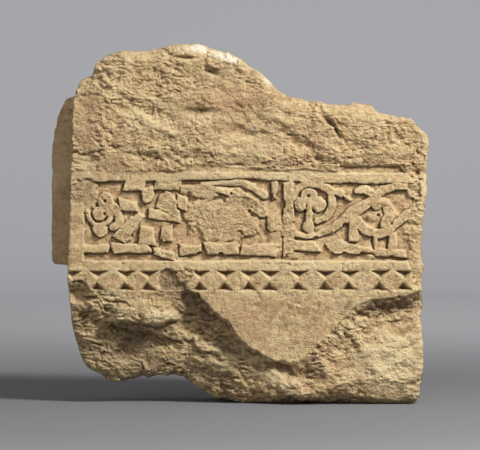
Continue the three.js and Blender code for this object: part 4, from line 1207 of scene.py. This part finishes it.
def tool_lines_group():
    amounts = {"Lines a metre": LINES_A_METRE, "Wander": 0.008}
    group, given, result = new_group("tool lines", amounts, ["Height"])
    vector = given["Vector"]
    height = node(group, "ShaderNodeSeparateXYZ", {"Vector": vector}).outputs["Z"]
    drift = math_node(group, "MULTIPLY", cloud_noise(group, vector, 16.0, 2.0, 0.5), given["Wander"])
    turns = math_node(group, "MULTIPLY", math_node(group, "ADD", drift, height), given["Lines a metre"])
    wave = math_node(group, "SINE", math_node(group, "MULTIPLY", turns, 6.2832), 0.0)
    kept = remap(group, cloud_noise(group, vector, 30.0, 3.0, 0.6), 0.48, 0.62)
    group.links.new(math_node(group, "MULTIPLY", wave, kept), result["Height"])
    return group


def blotches_group():
    amounts = {"Blotches a metre": BLOTCHES_A_METRE}
    group, given, result = new_group("blotches", amounts, ["Darker", "Paler"])
    cloud = cloud_noise(group, given["Vector"], given["Blotches a metre"], 7.0, 0.68, 0.3)
    group.links.new(remap(group, cloud, 0.5, 0.62), result["Darker"])
    group.links.new(remap(group, cloud, 0.5, 0.38), result["Paler"])
    return group


tool_lines, blotches = tool_lines_group(), blotches_group()
print("groups", tool_lines.name, "and", blotches.name)

# %% [markdown]
# ## The stone's material
# The colours start from a sand tone near the imported record's. Mottle and streaks move it between a darker
# and a lighter sand, the stain attributes tint it, some of them with painted shade and light, and the
# patina
# finishes it: dirt and painted shade in the hollows, wear and painted highlight on ridges and on slopes
# that face the light. The roughness is one plain number, since the whole block is matt. Two sizes of grain
# and the faint tool lines go into the normal as bump: the grain is stronger where the stone is broken, and
# the lines are only where it is tooled.

# %% Stone material
SAND = (0.48, 0.335, 0.172, 1)
SAND_DARK = (0.31, 0.195, 0.092, 1)
SAND_LIGHT = (0.61, 0.455, 0.24, 1)
PINKISH = (0.45, 0.28, 0.148, 1)
CREAM = (0.66, 0.53, 0.3, 1)
WHITISH = (0.8, 0.73, 0.58, 1)
# brown of old dirt, also used as painted shade on slopes and under edges
DIRT_AND_SHADE_BROWN = (0.14, 0.096, 0.054, 1)
# dark of dirt in hollows, also used as painted shade in creases
CREVICE_DIRT_AND_SHADE = (0.12, 0.075, 0.04, 1)


def placed(tree, group, links):
    """A group's outputs, with the group set into a material."""
    return node(tree, "ShaderNodeGroup", links, node_tree=group).outputs


def stone_colour(tree, values, mottle, beds, clouds, worn):
    """The base colour: sand tones, then blotches and stains, then whitish spots, grime with painted shade,
    and patina with painted shade and light.
    """
    streaks = math_node(tree, "MULTIPLY", math_node(tree, "SUBTRACT", beds["Streaks"], 0.5), 0.5)
    tone = math_node(tree, "ADD", mottle, streaks)
    speckle = remap(tree, tone, 0.36, 0.56, 1.0, 0.55)
    spots = math_node(tree, "MULTIPLY", values["white"], speckle)
    # brown stain broken by the speckle: old dirt and painted shade
    brown_dirt_and_shade = math_node(tree, "MULTIPLY", values["brown"], speckle)
    colour = SAND
    coats = [
        (remap(tree, tone, 0.49, 0.36), SAND_DARK),
        (remap(tree, tone, 0.48, 0.6), SAND_LIGHT),
        (math_node(tree, "MULTIPLY", clouds["Darker"], 0.4), PINKISH),
        (math_node(tree, "MULTIPLY", clouds["Paler"], 0.25), CREAM),
        (math_node(tree, "MULTIPLY", values["pink"], 0.75), PINKISH),
        # pale stain: paler stone, and painted light on the shelf, the tongue and the lower right
        (math_node(tree, "MULTIPLY", values["pale"], 0.8), CREAM),
        (math_node(tree, "MULTIPLY", spots, 1.35, clamp=True), WHITISH),
        # brown stain: old dirt, and painted shade on slopes facing away, under the field's right edge and
        # along the bottom
        (brown_dirt_and_shade, DIRT_AND_SHADE_BROWN),
        # rubbed edges: wear, and painted highlight on ridges and on slopes that face the light
        (math_node(tree, "MULTIPLY", worn["Rubbed and lit"], 0.5), CREAM),
        # hollows: dirt, and painted shade in creases and on slopes that face away from the light
        (math_node(tree, "MULTIPLY", worn["Dirt"], 0.75), CREVICE_DIRT_AND_SHADE),
    ]
    for amount, coat in coats:
        colour = mix_colours(tree, amount, colour, coat)
    return colour


def stone_height(tree, here, broken, grain_height):
    """Fine grain / 2 + coarse grain * (1.1 + 0.8 * broken) + tool lines where the stone is tooled."""
    coarse = placed(tree, sandy_grain, {"Vector": here, "Grain size": 0.0036, "Pit share": 0.5})
    lines = placed(tree, tool_lines, {"Vector": here, "Lines a metre": LINES_A_METRE, "Wander": 0.03})
    strength = math_node(tree, "ADD", math_node(tree, "MULTIPLY", broken, 0.8), 1.1)
    rough_part = math_node(tree, "MULTIPLY", coarse["Height"], strength)
    height = math_node(tree, "ADD", math_node(tree, "MULTIPLY", grain_height, 0.5), rough_part)
    tooled = math_node(tree, "SUBTRACT", 1.0, broken, clamp=True)
    line_part = math_node(tree, "MULTIPLY", math_node(tree, "MULTIPLY", lines["Height"], tooled), 0.09)
    return math_node(tree, "ADD", height, line_part)


def stone_material():
    material, tree, shader = matt_material("sandy limestone", 0.93)
    shader.inputs["Specular IOR Level"].default_value = 0.25
    here = node(tree, "ShaderNodeTexCoord").outputs["Object"]
    values = {
        name: node(tree, "ShaderNodeAttribute", attribute_name=name).outputs["Fac"]
        for name in ("hollow", "broken", "white", "pale", "pink", "brown")
    }
    grain = placed(tree, sandy_grain, {"Vector": here, "Grain size": 0.0013, "Pit share": 0.42})
    beds = placed(tree, bedding, {"Vector": here, "Beds a metre": 70.0})
    clouds = placed(tree, blotches, {"Vector": here, "Blotches a metre": BLOTCHES_A_METRE})
    worn = placed(tree, patina_and_light, {"Vector": here, "Hollow": values["hollow"]})
    colour = stone_colour(tree, values, grain["Mottle"], beds, clouds, worn)
    tree.links.new(colour, shader.inputs["Base Color"])
    height = stone_height(tree, here, values["broken"], grain["Height"])
    bump = node(tree, "ShaderNodeBump", {"Height": height, "Strength": 0.95, "Distance": 0.0022})
    tree.links.new(bump.outputs[0], shader.inputs["Normal"])
    return material


stone.data.materials.clear()
stone.data.materials.append(stone_material())
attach(stone, "root")
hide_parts("frieze_block")
print("material", stone.data.materials[0].name, "on", stone.name)

# %% [markdown]
# ## Studio
# The floor and the backdrop are one bowl, so that there is no line at the horizon from any side. Its
# profile is flat, then a quarter circle, then upright, and it is turned round the block. Its paper is
# graded, darker round the block and paler towards the wall: painted shade that darkens the floor near the
# block.

# %% Backdrop bowl
FLOOR_RADIUS, SWEEP_RADIUS, WALL_TOP, AROUND = 5.2, 1.3, 2.3, 96  # metres, and steps round the bowl
turn = np.linspace(0, np.pi / 2, 20)
WALL_RADIUS = FLOOR_RADIUS + SWEEP_RADIUS
profile_r = np.concatenate([[0.02], FLOOR_RADIUS + SWEEP_RADIUS * np.sin(turn), [WALL_RADIUS]])
profile_z = np.concatenate([[0], SWEEP_RADIUS * (1 - np.cos(turn)), [WALL_TOP]])
angle = np.linspace(0, 2 * np.pi, AROUND, endpoint=False)
bowl_points = np.stack([
    np.outer(profile_r, np.cos(angle)),
    np.outer(profile_r, np.sin(angle)),
    np.outer(profile_z, angle * 0 + 1),
], axis=-1).reshape(-1, 3)
ring_index = np.arange(len(profile_r))[:, None] * AROUND + np.arange(AROUND)
next_index = np.roll(ring_index, -1, axis=1)
bowl_faces = np.stack([ring_index[:-1], ring_index[1:], next_index[1:], next_index[:-1]], -1).reshape(-1, 4)
sheet = bpy.data.meshes.new("backdrop")
sheet.from_pydata(bowl_points.tolist(), [], bowl_faces.tolist() + [ring_index[0].tolist()])
sheet.shade_smooth()
backdrop = bpy.data.objects.new("backdrop", sheet)
bpy.context.scene.collection.objects.link(backdrop)
NEAR_PAPER, FAR_PAPER = (0.17, 0.17, 0.177, 1), (0.6, 0.6, 0.615, 1)
paper, paper_tree, paper_shader = matt_material("graded paper", 0.95)
paper_place = node(paper_tree, "ShaderNodeTexCoord").outputs["Object"]
away = node(paper_tree, "ShaderNodeVectorMath", {0: paper_place}, operation="LENGTH").outputs["Value"]
# painted shade: the paper darkens towards the block
paper_colour = mix_colours(paper_tree, remap(paper_tree, away, 0.6, 5.0), NEAR_PAPER, FAR_PAPER)
paper_tree.links.new(paper_colour, paper_shader.inputs["Base Color"])
sheet.materials.append(paper)
print("backdrop has", len(sheet.polygons), "faces")

# %% [markdown]
# ## Camera and light
# The camera looks straight at the face from 3.5 m, so that the block hardly tapers. The lens follows from
# the width that the picture takes in at the face. A soft light stands high on the right, a larger and
# weaker one on the left and a grey sky fill the shadows, and a third light brightens the wall behind.

# %% Camera
VIEW_WIDTH = 0.7536  # metres across the picture, at the face
VIEW_MIDDLE = (0.001, 0.284)  # x and z of the picture's middle
CAMERA_DISTANCE = 3.5
camera_data = bpy.data.cameras.new("camera")
camera_data.lens = camera_data.sensor_width * CAMERA_DISTANCE / VIEW_WIDTH
camera = bpy.data.objects.new("camera", camera_data)
camera.location = (VIEW_MIDDLE[0], FRONT * MM - CAMERA_DISTANCE, VIEW_MIDDLE[1])
camera.rotation_euler = (np.pi / 2, 0, 0)
bpy.context.scene.collection.objects.link(camera)
bpy.context.scene.camera = camera
print("lens", round(camera_data.lens, 1), "mm")

# %% Lights
def soft_light(name, place, aim, size, power):
    """A square area light at a place, turned to look at a point."""
    data = bpy.data.lights.new(name, "AREA")
    data.size, data.energy = size, power
    light = bpy.data.objects.new(name, data)
    light.location = place
    light.rotation_euler = (light.location - aim).to_track_quat("Z", "Y").to_euler()
    bpy.context.scene.collection.objects.link(light)
    return light


aim = camera.location.copy()
aim.y = 0
soft_light("key", (1.75, -1.85, 2.2), aim, 0.7, 146)
soft_light("fill", (-2.2, -2.6, 1.2), aim, 2.4, 24)
far_wall = aim.copy()
far_wall.y, far_wall.z = WALL_RADIUS, 0.9
soft_light("backdrop", (0.6, 1.6, 2.6), far_wall, 2.0, 50)
world = bpy.data.worlds.new("studio")
world.use_nodes = True
world.node_tree.nodes["Background"].inputs["Color"].default_value = (0.5, 0.5, 0.52, 1)
world.node_tree.nodes["Background"].inputs["Strength"].default_value = 0.56
bpy.context.scene.world = world
bpy.context.scene.view_settings.view_transform = "Standard"
print("three soft lights and a grey sky")
